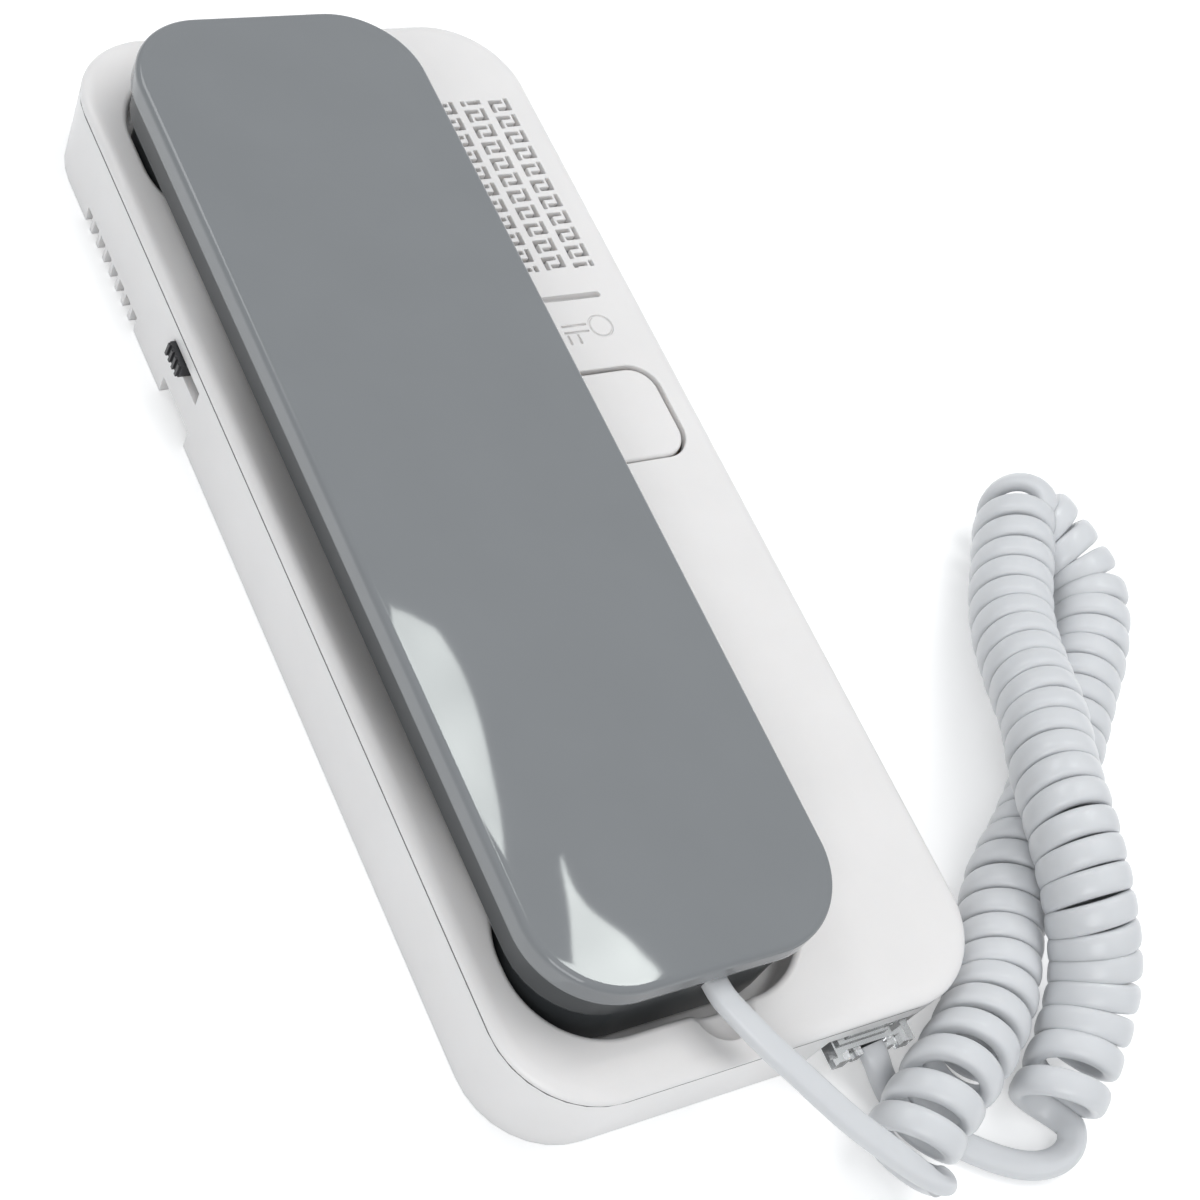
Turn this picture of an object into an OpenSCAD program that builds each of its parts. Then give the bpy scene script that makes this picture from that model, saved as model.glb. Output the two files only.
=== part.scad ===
// Slimline wall phone: a flat base with a door button, a call speaker and two cradle pockets, and a slab
// handset on a curly cord that plugs into the lower end of the base.
// Frame: +Z out of the face, +Y towards the ear end, +X to the right; the wall is z = 0.
// Lengths are in millimetres.

/* [Base] */
// length of the base at the parting line
base_length = 200; // [195:0.5:206]
// width of the base at the parting line
base_width = 84.5; // [82:0.5:90]
// plan radius of the base corners
base_corner = 15.5; // [12:0.5:18]
// height of the parting line between the two covers
parting_height = 16.3; // [15.8:0.1:17]
// height of the front face
face_height = 17.5; // [17:0.1:18.2]
// how far the side walls lean in down to the wall
wall_draft = 0.85; // [0:0.05:1.2]
// thickness of the cover walls
cover_wall = 2; // [1.6:0.1:2.4]
// depth of the hollow behind the back plate
rear_recess = 4; // [3.4:0.1:4.4]
// thickness of the back plate
back_plate = 2; // [1.6:0.1:2.2]
// play between the two covers
cover_play = 0.15; // [0.1:0.05:0.25]
// height of the dark line between the covers
parting_gap = 0.35; // [0.2:0.05:0.6]
// depth of the dark line between the covers
parting_depth = 0.7; // [0.4:0.1:1]
// length of the lip that the front cover sends into the rear cover
lip_depth = 1.7; // [1:0.1:2]

/* [Cradle] */
// how far the pockets' left edges lie inside the handset's outline
pocket_left_inset = 2.45; // [1.8:0.05:3]
// how far the pockets' right edges lie inside the handset's outline
pocket_right_inset = 0.25; // [0:0.05:0.8]
// how far the pockets run past the handset's ends
pocket_end_play = 1; // [0.6:0.1:1.4]
// length of the ear pocket
ear_pocket_length = 34.4; // [32:0.1:36]
// length of the mouth pocket
mouth_pocket_length = 29.5; // [29:0.1:32]
// plan radius of the pocket corners
pocket_corner = 14; // [11:0.5:14.2]
// height of the pocket floors
pocket_floor = 9.6; // [9.4:0.1:10.4]
// thickness of the pocket walls and floors
pocket_wall = 1.5; // [1.2:0.1:1.6]
// width of the bevel round a pocket's rim
pocket_bevel = 0.8; // [0.4:0.1:1]
// radius across the finger scoop
scoop_radius = 12; // [11:0.5:13]
// depth of the finger scoop at its middle
scoop_depth = 4.5; // [4:0.1:5]
// radius of the scoop along the base
scoop_sweep = 427; // [400:1:440]
// distance of the scoop's middle left of the centre line
scoop_x = 31; // [30:0.1:32]
// distance of the scoop's middle below the centre
scoop_y = 8; // [4:0.5:12]
// radius of the ball that dishes the face for the cord
cord_dish_radius = 6; // [5.5:0.1:6.5]
// depth of the dish for the cord
cord_dish_depth = 2.8; // [2:0.1:3]

/* [Speaker grille] */
// width of one grille slot
slot_width = 0.8; // [0.6:0.05:1]
// length of one arm of a slot
slot_arm = 2.8; // [2.4:0.1:3]
// distance between columns of slots
slot_column = 5.68; // [5.4:0.02:6]
// distance between rows of slots
slot_row = 3.765; // [3.6:0.005:4]
// distance of the grille's right edge from the base's side
grille_margin = 5.25; // [4.8:0.05:6]
// upper edge of the grille
grille_top = 81.1; // [80:0.1:82]
// number of rows
grille_rows = 10; // [8:1:10]
// diameter of the call speaker
speaker_diameter = 22; // [20:0.5:23]

/* [Door button] */
// width of the button
button_width = 20.2; // [19:0.1:21]
// length of the button
button_length = 18.2; // [17:0.1:19]
// radius of the button's corners
button_corner = 4.8; // [4:0.1:5.5]
// gap round the button
button_gap = 0.55; // [0.4:0.05:0.8]
// travel of the button
button_travel = 0.8; // [0.6:0.1:0.9]
// distance of the button's right edge from the base's side
button_margin = 5.25; // [4.9:0.05:6]
// lower edge of the button
button_bottom = 2; // [1:0.1:3]

/* [Volume slide] */
// lower end of the slot in the side wall
volume_low = 28.9; // [28:0.1:30]
// upper end of the slot in the side wall
volume_high = 40; // [39:0.1:41]
// height of the slot's middle
volume_height = 11.95; // [11.8:0.05:12.1]
// width of the slot
volume_slot = 3.1; // [2.8:0.1:3.3]
// length of the knob
knob_length = 5.2; // [4.6:0.1:5.6]
// how far the knob stands out of the wall
knob_out = 1.1; // [0.8:0.1:1.4]

/* [Handset] */
// length of the handset
handset_length = 181.4; // [180:0.2:183]
// width of the handset
handset_width = 52.5; // [51:0.1:53]
// plan radius of the handset's corners
handset_corner = 14.5; // [13:0.5:16]
// height of the handset's top face above the wall
handset_top = 31; // [30:0.1:32]
// height of the handset's side band
handset_band = 4.2; // [3.8:0.1:5]
// distance of the handset's middle left of the centre line
handset_x = 12.5; // [12:0.1:13]
// distance of the handset's middle above the centre
handset_y = 0.7; // [0.4:0.1:1]
// radius of the handset's top edge
handset_edge = 1; // [0.6:0.1:1.4]
// wall of the handset shells
handset_wall = 1.8; // [1.5:0.1:2]
// step from the outer shell in to the inner shell
shell_step = 1.25; // [1.15:0.05:1.5]
// gap under the handset's waist
waist_gap = 2; // [1.8:0.1:2.4]
// play between the handset and its pockets
pocket_play = 1; // [0.8:0.1:1.2]
// diameter of the earpiece
earpiece_diameter = 25; // [22:0.5:26]
// diameter of the microphone
microphone_diameter = 9.7; // [8:0.1:10]

/* [Hook] */
// length of the hook lever from its pin to its nose
lever_length = 27; // [24:0.5:29]
// width of the hook lever
lever_width = 7; // [6:0.5:8]
// diameter of the lever's pin
hook_pin_diameter = 2.5; // [2:0.1:2.8]
// running clearance of the pin, on the radius
hook_pin_play = 0.06; // [0.04:0.01:0.08]
// height of the pin
hook_pin_height = 12.2; // [12:0.1:12.4]

/* [Wall fixing] */
// distance between the two screw slots
wall_slot_spacing = 100; // [90:1:104]
// width of the screw slots
wall_slot_width = 4.6; // [4:0.1:5]
// length of the screw slots
wall_slot_length = 8; // [7:0.5:9]

/* [Circuit board] */
// length of the board
board_length = 84; // [82:0.5:85]
// distance of the board's long edges from the base's sides
board_margin = 4.25; // [3.5:0.25:5.5]
// thickness of the board
board_thickness = 1.6; // [1.2:0.2:1.8]
// height of the posts over the back plate
post_height = 1.6; // [1.2:0.1:1.8]
// diameter of the board screws' shanks
board_screw = 2.4; // [2:0.1:2.6]

/* [Cord] */
// width of the cord along the coil
cord_width = 3.8; // [3.4:0.1:4]
// thickness of the cord across the coil
cord_thickness = 2.8; // [2.4:0.1:3]
// outer diameter of the coil
coil_diameter = 14.8; // [14:0.1:15]

/* [Hidden] */

white = [0.93, 0.92, 0.93];
grey = [0.5, 0.53, 0.54];
cord_grey = [0.78, 0.8, 0.83];
dark = [0.12, 0.12, 0.13];
metal = [0.75, 0.75, 0.72];
gold = [0.85, 0.7, 0.35];
green = [0.15, 0.4, 0.25];
clear = [0.85, 0.9, 0.92, 0.5];

round_steps = 48;     // sides of a true circle
hull_steps = 32;      // sides of a round corner inside a hull
past = 1;             // how far a cut runs past a face
touch = 0.3;          // rest gap between pieces of different bodies

plate_top = rear_recess + back_plate;
base_half_x = base_width / 2;
base_half_y = base_length / 2;
skin_under = face_height - cover_wall;
inner_half_x = base_half_x - cover_wall;
inner_half_y = base_half_y - cover_wall;
inner_corner = base_corner - cover_wall;
board_width = base_width - 2 * board_margin;
board_bottom = plate_top + post_height;
board_top = board_bottom + board_thickness;
pocket_bottom = pocket_floor - pocket_wall;

handset_left = -handset_x - handset_width / 2;
handset_right = -handset_x + handset_width / 2;
handset_high = handset_y + handset_length / 2;
handset_low = handset_y - handset_length / 2;
band_bottom = handset_top - handset_band;
pocket_left = handset_left + pocket_left_inset;
pocket_right = handset_right - pocket_right_inset;
ear_pocket_top = handset_high + pocket_end_play;
ear_pocket_bottom = ear_pocket_top - ear_pocket_length;
mouth_pocket_bottom = handset_low - pocket_end_play;
mouth_pocket_top = mouth_pocket_bottom + mouth_pocket_length;
waist_bottom = face_height + waist_gap;
cup_bottom = pocket_floor + touch;

// ---- shared shapes -----------------------------------------------------------------------------------

// a flat rectangle from corner to corner with round corners
module round_rect(x0, x1, y0, y1, r) {
  translate([x0 + r, y0]) square([x1 - x0 - 2 * r, y1 - y0]);
  translate([x0, y0 + r]) square([x1 - x0, y1 - y0 - 2 * r]);
  for (x = [x0 + r, x1 - r], y = [y0 + r, y1 - r])
    translate([x, y]) circle(r = r, $fn = round_steps);
}

// an upright round-cornered block between two heights
module round_block(x0, x1, y0, y1, r, z0, z1) {
  translate([0, 0, z0]) linear_extrude(z1 - z0) round_rect(x0, x1, y0, y1, r);
}

// a box between two corners
module box(low, high) {
  translate(low) cube(high - low);
}

// an upright rod between two heights
module rod(x, y, z0, z1, d) {
  translate([x, y, z0]) cylinder(h = z1 - z0, d = d, $fn = round_steps);
}

// a rod along X or Y between two places
module rod_x(x0, x1, y, z, d) {
  translate([x0, y, z]) rotate([0, 90, 0]) cylinder(h = x1 - x0, d = d, $fn = round_steps);
}
module rod_y(x, y0, y1, z, d) {
  translate([x, y0, z]) rotate([-90, 0, 0]) cylinder(h = y1 - y0, d = d, $fn = round_steps);
}

// a round-cornered body through layers of [height, inset from the outline]
module layered_body(x0, x1, y0, y1, r, layers) {
  hull()
    for (i = [1 : len(layers) - 1], x = [x0 + r, x1 - r], y = [y0 + r, y1 - r])
      translate([x, y, layers[i - 1][0]])
        cylinder(h = layers[i][0] - layers[i - 1][0], r1 = r - layers[i - 1][1], r2 = r - layers[i][1],
            $fn = hull_steps);
}

// ---- rear cover --------------------------------------------------------------------------------------

vent_count = 8;
vent_pitch = 3.1;
vent_slot = 2.1;
vent_depth = 3.3;
vent_top = 76;
notch_low = 28.4;
notch_high = 39.7;
notch_depth = 3.8;
plug_bay_left = 11.6;
plug_bay_right = 31;
plug_bay_height = 12.2;
plug_x = 22.5;
plug_z = 6;
jack_width = 12;
jack_front = 3 - base_half_y;
jack_back = jack_front + 14;
jack_bottom = 1;
jack_top = 12;
jack_play = 0.15;
entry_left = -32;
entry_right = -12;
entry_low = -59;
entry_high = -45;
post_x = board_width / 2 - 9;
post_y = board_length / 2 - 5;
post_diameter = 7;
post_pilot_depth = 5;
post_foot = 1;
tongue_width = 6;
tongue_thick = 1.3;
tongue_low = 9.6;
barb_out = 0.6;
barb_low = 10;
barb_high = 11.6;
catch_play = 0.2;
tongue_sites = [[1, -52], [1, 46], [-1, -52], [-1, 48]];

module rear_cover() {
  color(white) difference() {
    union() {
      difference() {
        hull()
          for (x = [-1, 1], y = [-1, 1])
            translate([x * (base_half_x - base_corner), y * (base_half_y - base_corner), 0])
              cylinder(h = parting_height, r1 = base_corner - wall_draft, r2 = base_corner,
                  $fn = hull_steps);
        round_block(-inner_half_x, inner_half_x, -inner_half_y, inner_half_y, inner_corner,
            plate_top, parting_height + past);
        round_block(-inner_half_x + wall_draft, inner_half_x - wall_draft, -inner_half_y + wall_draft,
            inner_half_y - wall_draft, inner_corner - wall_draft, -past, rear_recess);
      }
      jack_well();
      for (x = [-1, 1], y = [-1, 1]) rod(x * post_x, y * post_y, post_foot, board_bottom, post_diameter);
    }
    parting_cut();
    for (i = [0 : vent_count - 1])
      box([-base_half_x - past, vent_top - vent_slot - vent_pitch * i, -past],
          [-inner_half_x + wall_draft + past, vent_top - vent_pitch * i, vent_depth]);
    box([-base_half_x - past, notch_low, -past],
        [-inner_half_x + wall_draft + past, notch_high, notch_depth]);
    box([-base_half_x - past, volume_low, volume_height - volume_slot / 2],
        [-inner_half_x + past, volume_high, volume_height + volume_slot / 2]);
    box([plug_bay_left, -base_half_y - past, -past], [plug_bay_right, jack_front - touch, plug_bay_height]);
    box([plug_x - jack_width / 2 - jack_play, jack_front - past, jack_bottom],
        [plug_x + jack_width / 2 + jack_play, jack_back + jack_play, parting_height]);
    box([entry_left, entry_low, 0], [entry_right, entry_high, plate_top + past]);
    for (y = [-1, 1]) wall_slot(y * wall_slot_spacing / 2);
    for (x = [-1, 1], y = [-1, 1])
      rod(x * post_x, y * post_y, board_bottom - post_pilot_depth, board_bottom + past, board_screw + 0.1);
    for (s = tongue_sites) catch_recess(s[0], s[1]);
  }
}

// walls and floor that hold the jack
module jack_well() {
  rim = 1.2;
  box([plug_x - jack_width / 2 - jack_play - rim, -inner_half_y - 0.5, 0],
      [plug_x + jack_width / 2 + jack_play + rim, jack_back + jack_play + rim, plate_top + 1.5]);
}

// the dark line between the covers
module parting_cut() {
  difference() {
    translate([0, 0, parting_height - parting_gap])
      linear_extrude(parting_gap + past)
        square([base_width + 4, base_length + 4], center = true);
    round_block(-base_half_x + parting_depth, base_half_x - parting_depth, -base_half_y + parting_depth,
        base_half_y - parting_depth, base_corner - parting_depth,
        parting_height - parting_gap - past, parting_height + 2 * past);
  }
}

module wall_slot(y) {
  reach = (wall_slot_length - wall_slot_width) / 2;
  translate([0, y, rear_recess - past])
    linear_extrude(back_plate + 2 * past) {
      for (s = [-1, 1]) translate([0, s * reach]) circle(d = wall_slot_width, $fn = round_steps);
      square([wall_slot_width, 2 * reach], center = true);
    }
}

// a shallow pocket in the side wall for one barb
module catch_recess(side, y) {
  deep = barb_out + catch_play + cover_play;
  low = side > 0 ? inner_half_x - past : -inner_half_x - deep;
  box([low, y - tongue_width / 2 - catch_play, barb_low - catch_play],
      [low + deep + past, y + tongue_width / 2 + catch_play, barb_high + catch_play]);
}

// ---- front cover -------------------------------------------------------------------------------------

face_layers = [[parting_height, 0], [parting_height + 0.35, 0.2], [face_height - 0.5, 0.75],
    [face_height - 0.17, 1.4], [face_height, 2.3]];
lip_half_x = inner_half_x - cover_play;
lip_half_y = inner_half_y - cover_play;
lip_corner = inner_corner - cover_play;
lip_wall = 1.3;
lip_bottom = skin_under - lip_depth;
guide_wall = 1.2;
guide_depth = 2.6;
flange_out = 0.6;
flange_thick = 1;
flange_play = 0.35;
grille_right = base_half_x - grille_margin;
button_right = base_half_x - button_margin;
button_left = button_right - button_width;
button_top = button_bottom + button_length;
speaker_x = base_half_x - 15.25;
speaker_y = 64.5;
ring_wall = 1.4;
ring_bottom = 11;
slot_mate = [4.1, -2.5];
slot_margin = 0.3;
line_width = 1.2;
line_depth = 1;
line_left = 19;
line_right = 35.1;
line_y = 36.05;
symbol_depth = 0.3;
dish_x = 6.4 - handset_x;
dish_y = mouth_pocket_bottom - 0.5;
lever_x = -handset_x;
pin_y = 44;
nose_y = pin_y - lever_length;
nose_length = 6;
nose_slot_play = 0.5;
nose_slot_half = lever_width / 2 + nose_slot_play;
nose_swing = 1.2;
lug_wall = 2.5;
lug_gap = 0.4;
lug_reach = 2.2;

module front_cover() {
  color(white) difference() {
    union() {
      difference() {
        layered_body(-base_half_x, base_half_x, -base_half_y, base_half_y, base_corner, face_layers);
        round_block(-lip_half_x, lip_half_x, -lip_half_y, lip_half_y, lip_corner, parting_height - past,
            parting_height + 0.2);
      }
      cover_lip();
      pocket_pan(ear_pocket_bottom, ear_pocket_top);
      pocket_pan(mouth_pocket_bottom, mouth_pocket_top);
      scoop_pan();
      button_guide();
      speaker_ring();
      hook_lugs();
      for (s = tongue_sites) snap_tongue(s[0], s[1]);
    }
    pocket_cut(ear_pocket_bottom, ear_pocket_top);
    pocket_cut(mouth_pocket_bottom, mouth_pocket_top);
    scoop_form(scoop_radius);
    translate([dish_x, dish_y, face_height - cord_dish_depth + cord_dish_radius])
      sphere(r = cord_dish_radius, $fn = round_steps);
    button_block(button_gap, skin_under - past, face_height + past);
    grille_cut();
    line_cut();
    key_symbol();
    box([lever_x - nose_slot_half, nose_y - nose_length / 2 - nose_slot_play, skin_under - past],
        [lever_x + nose_slot_half, nose_y + nose_length / 2 + nose_slot_play + nose_swing,
            face_height + past]);
  }
}

// the skin's underside and the lip that enters the rear cover
module cover_lip() {
  round_block(-lip_half_x, lip_half_x, -lip_half_y, lip_half_y, lip_corner, skin_under,
      parting_height + 0.3);
  difference() {
    round_block(-lip_half_x, lip_half_x, -lip_half_y, lip_half_y, lip_corner, lip_bottom, skin_under + 0.1);
    round_block(-lip_half_x + lip_wall, lip_half_x - lip_wall, -lip_half_y + lip_wall, lip_half_y - lip_wall,
        lip_corner - lip_wall, lip_bottom - past, skin_under + past);
  }
}

// the tray under one cradle pocket
module pocket_pan(low, high) {
  round_block(pocket_left - pocket_wall, pocket_right + pocket_wall, low - pocket_wall, high + pocket_wall,
      pocket_corner + pocket_wall, pocket_bottom, skin_under + 0.1);
}

// one cradle pocket with a bevelled rim
module pocket_cut(low, high) {
  round_block(pocket_left, pocket_right, low, high, pocket_corner, pocket_floor, face_height + past);
  layered_body(pocket_left - pocket_bevel, pocket_right + pocket_bevel, low - pocket_bevel,
      high + pocket_bevel, pocket_corner + pocket_bevel,
      [[face_height - pocket_bevel, pocket_bevel], [face_height - 0.3 * pocket_bevel, 0.7 * pocket_bevel],
       [face_height + 0.05, 0]]);
}

// the long finger scoop: a round channel that follows a wide arc
module scoop_form(r) {
  arc = 13;
  sweep = scoop_sweep - scoop_radius;
  translate([-scoop_x, -scoop_y, face_height - scoop_depth + scoop_radius + sweep])
    rotate([0, 90, 0]) rotate([0, 0, -arc])
      rotate_extrude(angle = 2 * arc, $fn = 720) translate([sweep, 0]) circle(r = r, $fn = round_steps);
}

// the skin under the scoop
module scoop_pan() {
  intersection() {
    scoop_form(scoop_radius + 1.8);
    box([-lip_half_x, mouth_pocket_top - pocket_wall, pocket_floor], [0, ear_pocket_bottom + pocket_wall,
        skin_under + 0.1]);
  }
}

// a block with the button's outline, grown by a margin
module button_block(grow, z0, z1) {
  round_block(button_left - grow, button_right + grow, button_bottom - grow, button_top + grow,
      button_corner + grow, z0, z1);
}

// the short shaft that the button slides in
module button_guide() {
  inside = button_gap + flange_out + flange_play;
  difference() {
    button_block(inside + guide_wall, skin_under - guide_depth, skin_under + 0.1);
    button_block(inside, skin_under - guide_depth - past, skin_under);
  }
}

// the ring that holds the call speaker
module speaker_ring() {
  difference() {
    rod(speaker_x, speaker_y, ring_bottom, skin_under + 0.1, speaker_diameter + 0.2 + 2 * ring_wall);
    rod(speaker_x, speaker_y, ring_bottom - past, skin_under, speaker_diameter + 0.2);
  }
}

// two lugs that carry the hook lever's pin
module hook_lugs() {
  for (s = [-1, 1]) {
    mid = lever_x + s * (lever_width / 2 + lug_gap + lug_wall / 2);
    difference() {
      box([mid - lug_wall / 2, pin_y - 3, hook_pin_height - lug_reach], [mid + lug_wall / 2, pin_y + 3,
          skin_under + 0.1]);
      rod_x(mid - lug_wall, mid + lug_wall, pin_y, hook_pin_height, hook_pin_diameter + 2 * hook_pin_play);
    }
  }
}

// a springy tongue with a barb
module snap_tongue(side, y) {
  outer = side * lip_half_x;
  inner = side * (lip_half_x - tongue_thick);
  half = tongue_width / 2;
  box([min(inner, outer), y - half, tongue_low], [max(inner, outer), y + half, skin_under + 0.1]);
  translate([outer, y + half, 0]) rotate([90, 0, 0]) linear_extrude(tongue_width)
    polygon([[-side * 0.2, barb_low], [0, barb_low], [side * barb_out, barb_high - 0.3],
        [side * barb_out, barb_high], [-side * 0.2, barb_high]]);
}

// one slot of two arms with its corner at the upper left, or turned half round
module slot_shape(side) {
  w = slot_width;
  corners = [[0, 0], [slot_arm, 0], [slot_arm, -w], [w, -w], [w, -slot_arm], [0, -slot_arm]];
  polygon([for (p = corners) side * p]);
}

// columns of slots in two senses that interlock, trimmed to a straight-edged window
module grille_cut() {
  low = grille_top - grille_rows * slot_row - 1.3;
  first_x = grille_right - slot_mate[0];
  translate([0, 0, skin_under - past]) linear_extrude(cover_wall + 2 * past) intersection() {
    union() {
      for (c = [0 : 3], r = [-1 : grille_rows]) {
        shift = (c % 2) * slot_row / 2;
        corner = [first_x - c * slot_column, grille_top - slot_margin - r * slot_row - shift];
        translate(corner) slot_shape(1);
        translate(corner + slot_mate) slot_shape(-1);
      }
    }
    translate([first_x - 3 * slot_column, low])
      square([grille_right - first_x + 3 * slot_column, grille_top - low]);
  }
}

module line_cut() {
  translate([0, 0, face_height - line_depth]) linear_extrude(line_depth + past) {
    translate([line_left, line_y - line_width / 2])
      square([line_right - line_left - line_width / 2, line_width]);
    translate([line_right - line_width / 2, line_y]) circle(d = line_width, $fn = round_steps);
  }
}

// a small outline key: a ring for the bow, a shaft and two bits
module key_symbol() {
  bow = [32, 29.4];
  bow_r = 2.4;
  w = 0.45;
  tip = 24.3;
  translate([0, 0, face_height - symbol_depth]) linear_extrude(symbol_depth + past) {
    difference() {
      translate(bow) circle(r = bow_r, $fn = round_steps);
      translate(bow) circle(r = bow_r - w, $fn = round_steps);
    }
    for (y = [-0.7, 0.7]) translate([tip, bow[1] + y - w / 2]) square([bow[0] - bow_r - tip + 0.2, w]);
    for (x = [0, 2.2]) translate([tip + x, bow[1] - 3.2]) square([w, 2.6]);
    translate([tip, bow[1] - 0.7]) square([w, 1.4]);
  }
}

// ---- circuit board and what stands on it -------------------------------------------------------------

screw_head = 5;
screw_head_high = 1.7;
wire_diameter = 1;
wire_height = board_top + 0.8;
header_gap = 0.8;
jack_header_y = screw_head / 2 + header_gap - post_y;
speaker_header_y = post_y - screw_head / 2 - header_gap;
header_depth = 4;
header_high = 2.8;
speaker_wire_x = [speaker_x - 5.8, speaker_x - 4.2];
jack_wire_pitch = 1.27;

module circuit_board() {
  color(green) difference() {
    box([-board_width / 2, -board_length / 2, board_bottom], [board_width / 2, board_length / 2, board_top]);
    for (x = [-1, 1], y = [-1, 1])
      rod(x * post_x, y * post_y, board_bottom - past, board_top + past, board_screw + 0.4);
  }
}

// places on the board, as shares of its half width and half length
chip_at = [0.05, -0.55];
chip_size = [12, 10, 2.2];
driver_at = [-0.71, -0.4];
driver_size = [6, 6, 1.2];
relay_at = [0.62, -0.38];
relay_size = [15, 9, 5.4];
resistor_size = [1.6, 3.2, 0.8];
resistors_at = [[-0.92, -0.68], [-0.82, -0.68], [-0.71, -0.68], [-0.61, -0.68], [-0.5, -0.68],
    [0.06, 0.75], [0.15, 0.75], [0.24, 0.75]];
capacitors_at = [[0.22, -0.83], [-0.03, -0.83], [0.1, 0.33]];
capacitor_diameters = [6.3, 6.3, 8];
capacitor_high = 5.4;

// a block that stands on the board
module on_board(at, size) {
  translate([at[0] * board_width / 2, at[1] * board_length / 2, board_top + size[2] / 2])
    cube(size, center = true);
}

module board_components() {
  color(dark) {
    on_board(chip_at, chip_size);
    on_board(driver_at, driver_size);
    on_board(relay_at, relay_size);
    for (at = resistors_at) on_board(at, resistor_size);
  }
}

module board_capacitors() {
  color(metal)
    for (i = [0 : len(capacitors_at) - 1])
      rod(capacitors_at[i][0] * board_width / 2, capacitors_at[i][1] * board_length / 2, board_top,
          board_top + capacitor_high, capacitor_diameters[i]);
}

// plug strips for the wires of the jack and of the speaker
module board_connectors() {
  color(white) {
    box([plug_x - 3.5, jack_header_y, board_top],
        [plug_x + 3.5, jack_header_y + header_depth, board_top + header_high]);
    box([speaker_wire_x[0] - 1.6, speaker_header_y - header_depth, board_top],
        [speaker_wire_x[1] + 1.6, speaker_header_y, board_top + header_high]);
  }
}

module board_screws() {
  color(metal)
    for (x = [-1, 1], y = [-1, 1]) difference() {
      union() {
        rod(x * post_x, y * post_y, board_top, board_top + screw_head_high, screw_head);
        rod(x * post_x, y * post_y, board_bottom - post_pilot_depth + 0.6, board_top + 0.1, board_screw);
      }
      box([x * post_x - 1.6, y * post_y - 0.3, board_top + screw_head_high - 0.7],
          [x * post_x + 1.6, y * post_y + 0.3, board_top + screw_head_high + past]);
    }
}

// ---- call speaker ------------------------------------------------------------------------------------

gasket_high = 0.4;
speaker_frame_high = 2.6;
speaker_top = skin_under - gasket_high;
speaker_frame_low = speaker_top - speaker_frame_high;
retainer_high = 1.1;
magnet_diameter = 14;
magnet_low = 8.4;

module call_speaker() {
  color(dark) {
    difference() {
      union() {
        rod(speaker_x, speaker_y, speaker_frame_low, speaker_top, speaker_diameter);
        rod(speaker_x, speaker_y, magnet_low, speaker_frame_low + 0.1, magnet_diameter);
        box([speaker_wire_x[0] - 0.9, speaker_y - 8, wire_height - 0.8],
            [speaker_wire_x[1] + 0.9, speaker_y - 4, wire_height + 0.8]);
      }
      translate([speaker_x, speaker_y, speaker_top - 1.6])
        cylinder(h = 1.6 + past, r1 = 5, r2 = 10.6, $fn = round_steps);
    }
  }
}

module speaker_gasket() {
  color(dark) difference() {
    rod(speaker_x, speaker_y, speaker_top, skin_under, speaker_diameter);
    rod(speaker_x, speaker_y, speaker_top - past, skin_under + past, speaker_diameter - 3);
  }
}

// the ring that is pressed in under the speaker
module speaker_retainer() {
  color(white) difference() {
    rod(speaker_x, speaker_y, speaker_frame_low - retainer_high, speaker_frame_low, speaker_diameter + 0.2);
    rod(speaker_x, speaker_y, speaker_frame_low - retainer_high - past, speaker_frame_low + past,
        magnet_diameter + 3);
  }
}

module speaker_wires() {
  color(dark)
    for (x = speaker_wire_x) rod_y(x, speaker_header_y, speaker_y - 8, wire_height, wire_diameter);
}

// ---- door button -------------------------------------------------------------------------------------

button_rest_top = face_height - 0.2;
button_skin = 1.5;
button_low = 14;
button_mid_x = (button_left + button_right) / 2;
button_mid_y = (button_bottom + button_top) / 2;
tact_width = 6;
tact_top = board_top + 3.5;
tact_bore = 3.2;
plunger_diameter = 3;
plunger_top = tact_top + button_travel + 0.1;
plunger_bottom = plunger_top - 2.4;

module door_button() {
  color(white) {
    difference() {
      union() {
        layered_body(button_left, button_right, button_bottom, button_top, button_corner,
            [[button_low, 0], [button_rest_top - 0.6, 0], [button_rest_top - 0.2, 0.25],
             [button_rest_top, 0.8]]);
        button_block(button_gap + flange_out, button_low, button_low + flange_thick);
      }
      button_block(-button_skin, button_low - past, button_rest_top - button_skin);
    }
    rod(button_mid_x, button_mid_y, plunger_top, button_rest_top - button_skin + 0.1, 4);
  }
}

module door_switch() {
  color(dark) difference() {
    box([button_mid_x - tact_width / 2, button_mid_y - tact_width / 2, board_top],
        [button_mid_x + tact_width / 2, button_mid_y + tact_width / 2, tact_top]);
    rod(button_mid_x, button_mid_y, plunger_bottom - button_travel - 0.2, tact_top + past, tact_bore);
  }
}

module door_switch_plunger() {
  color(white) rod(button_mid_x, button_mid_y, plunger_bottom, plunger_top, plunger_diameter);
}

// ---- volume slide ------------------------------------------------------------------------------------

knob_high = volume_slot - 0.5;
knob_top_y = volume_high - 0.3;
knob_low_y = knob_top_y - knob_length;
slide_body_top = board_top + 3.1;
slide_body_left = -board_width / 2;
slide_body_right = slide_body_left + 4.6;
slide_wall = 1.3;
slide_play = 0.2;
foot_low = board_top + 1.5;
foot_high = board_top + 2.6;
foot_half = 1.8;
ridge_count = 4;
ridge_out = 0.4;
ridge_wide = 0.6;

module volume_switch() {
  color(metal) difference() {
    box([slide_body_left, volume_low - 1.9, board_top],
        [slide_body_right, volume_high + 1.5, slide_body_top]);
    box([slide_body_left - past, volume_low - 0.5, foot_low - slide_play],
        [slide_body_right - slide_wall, volume_high + 0.4, foot_high + slide_play]);
  }
}

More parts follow.
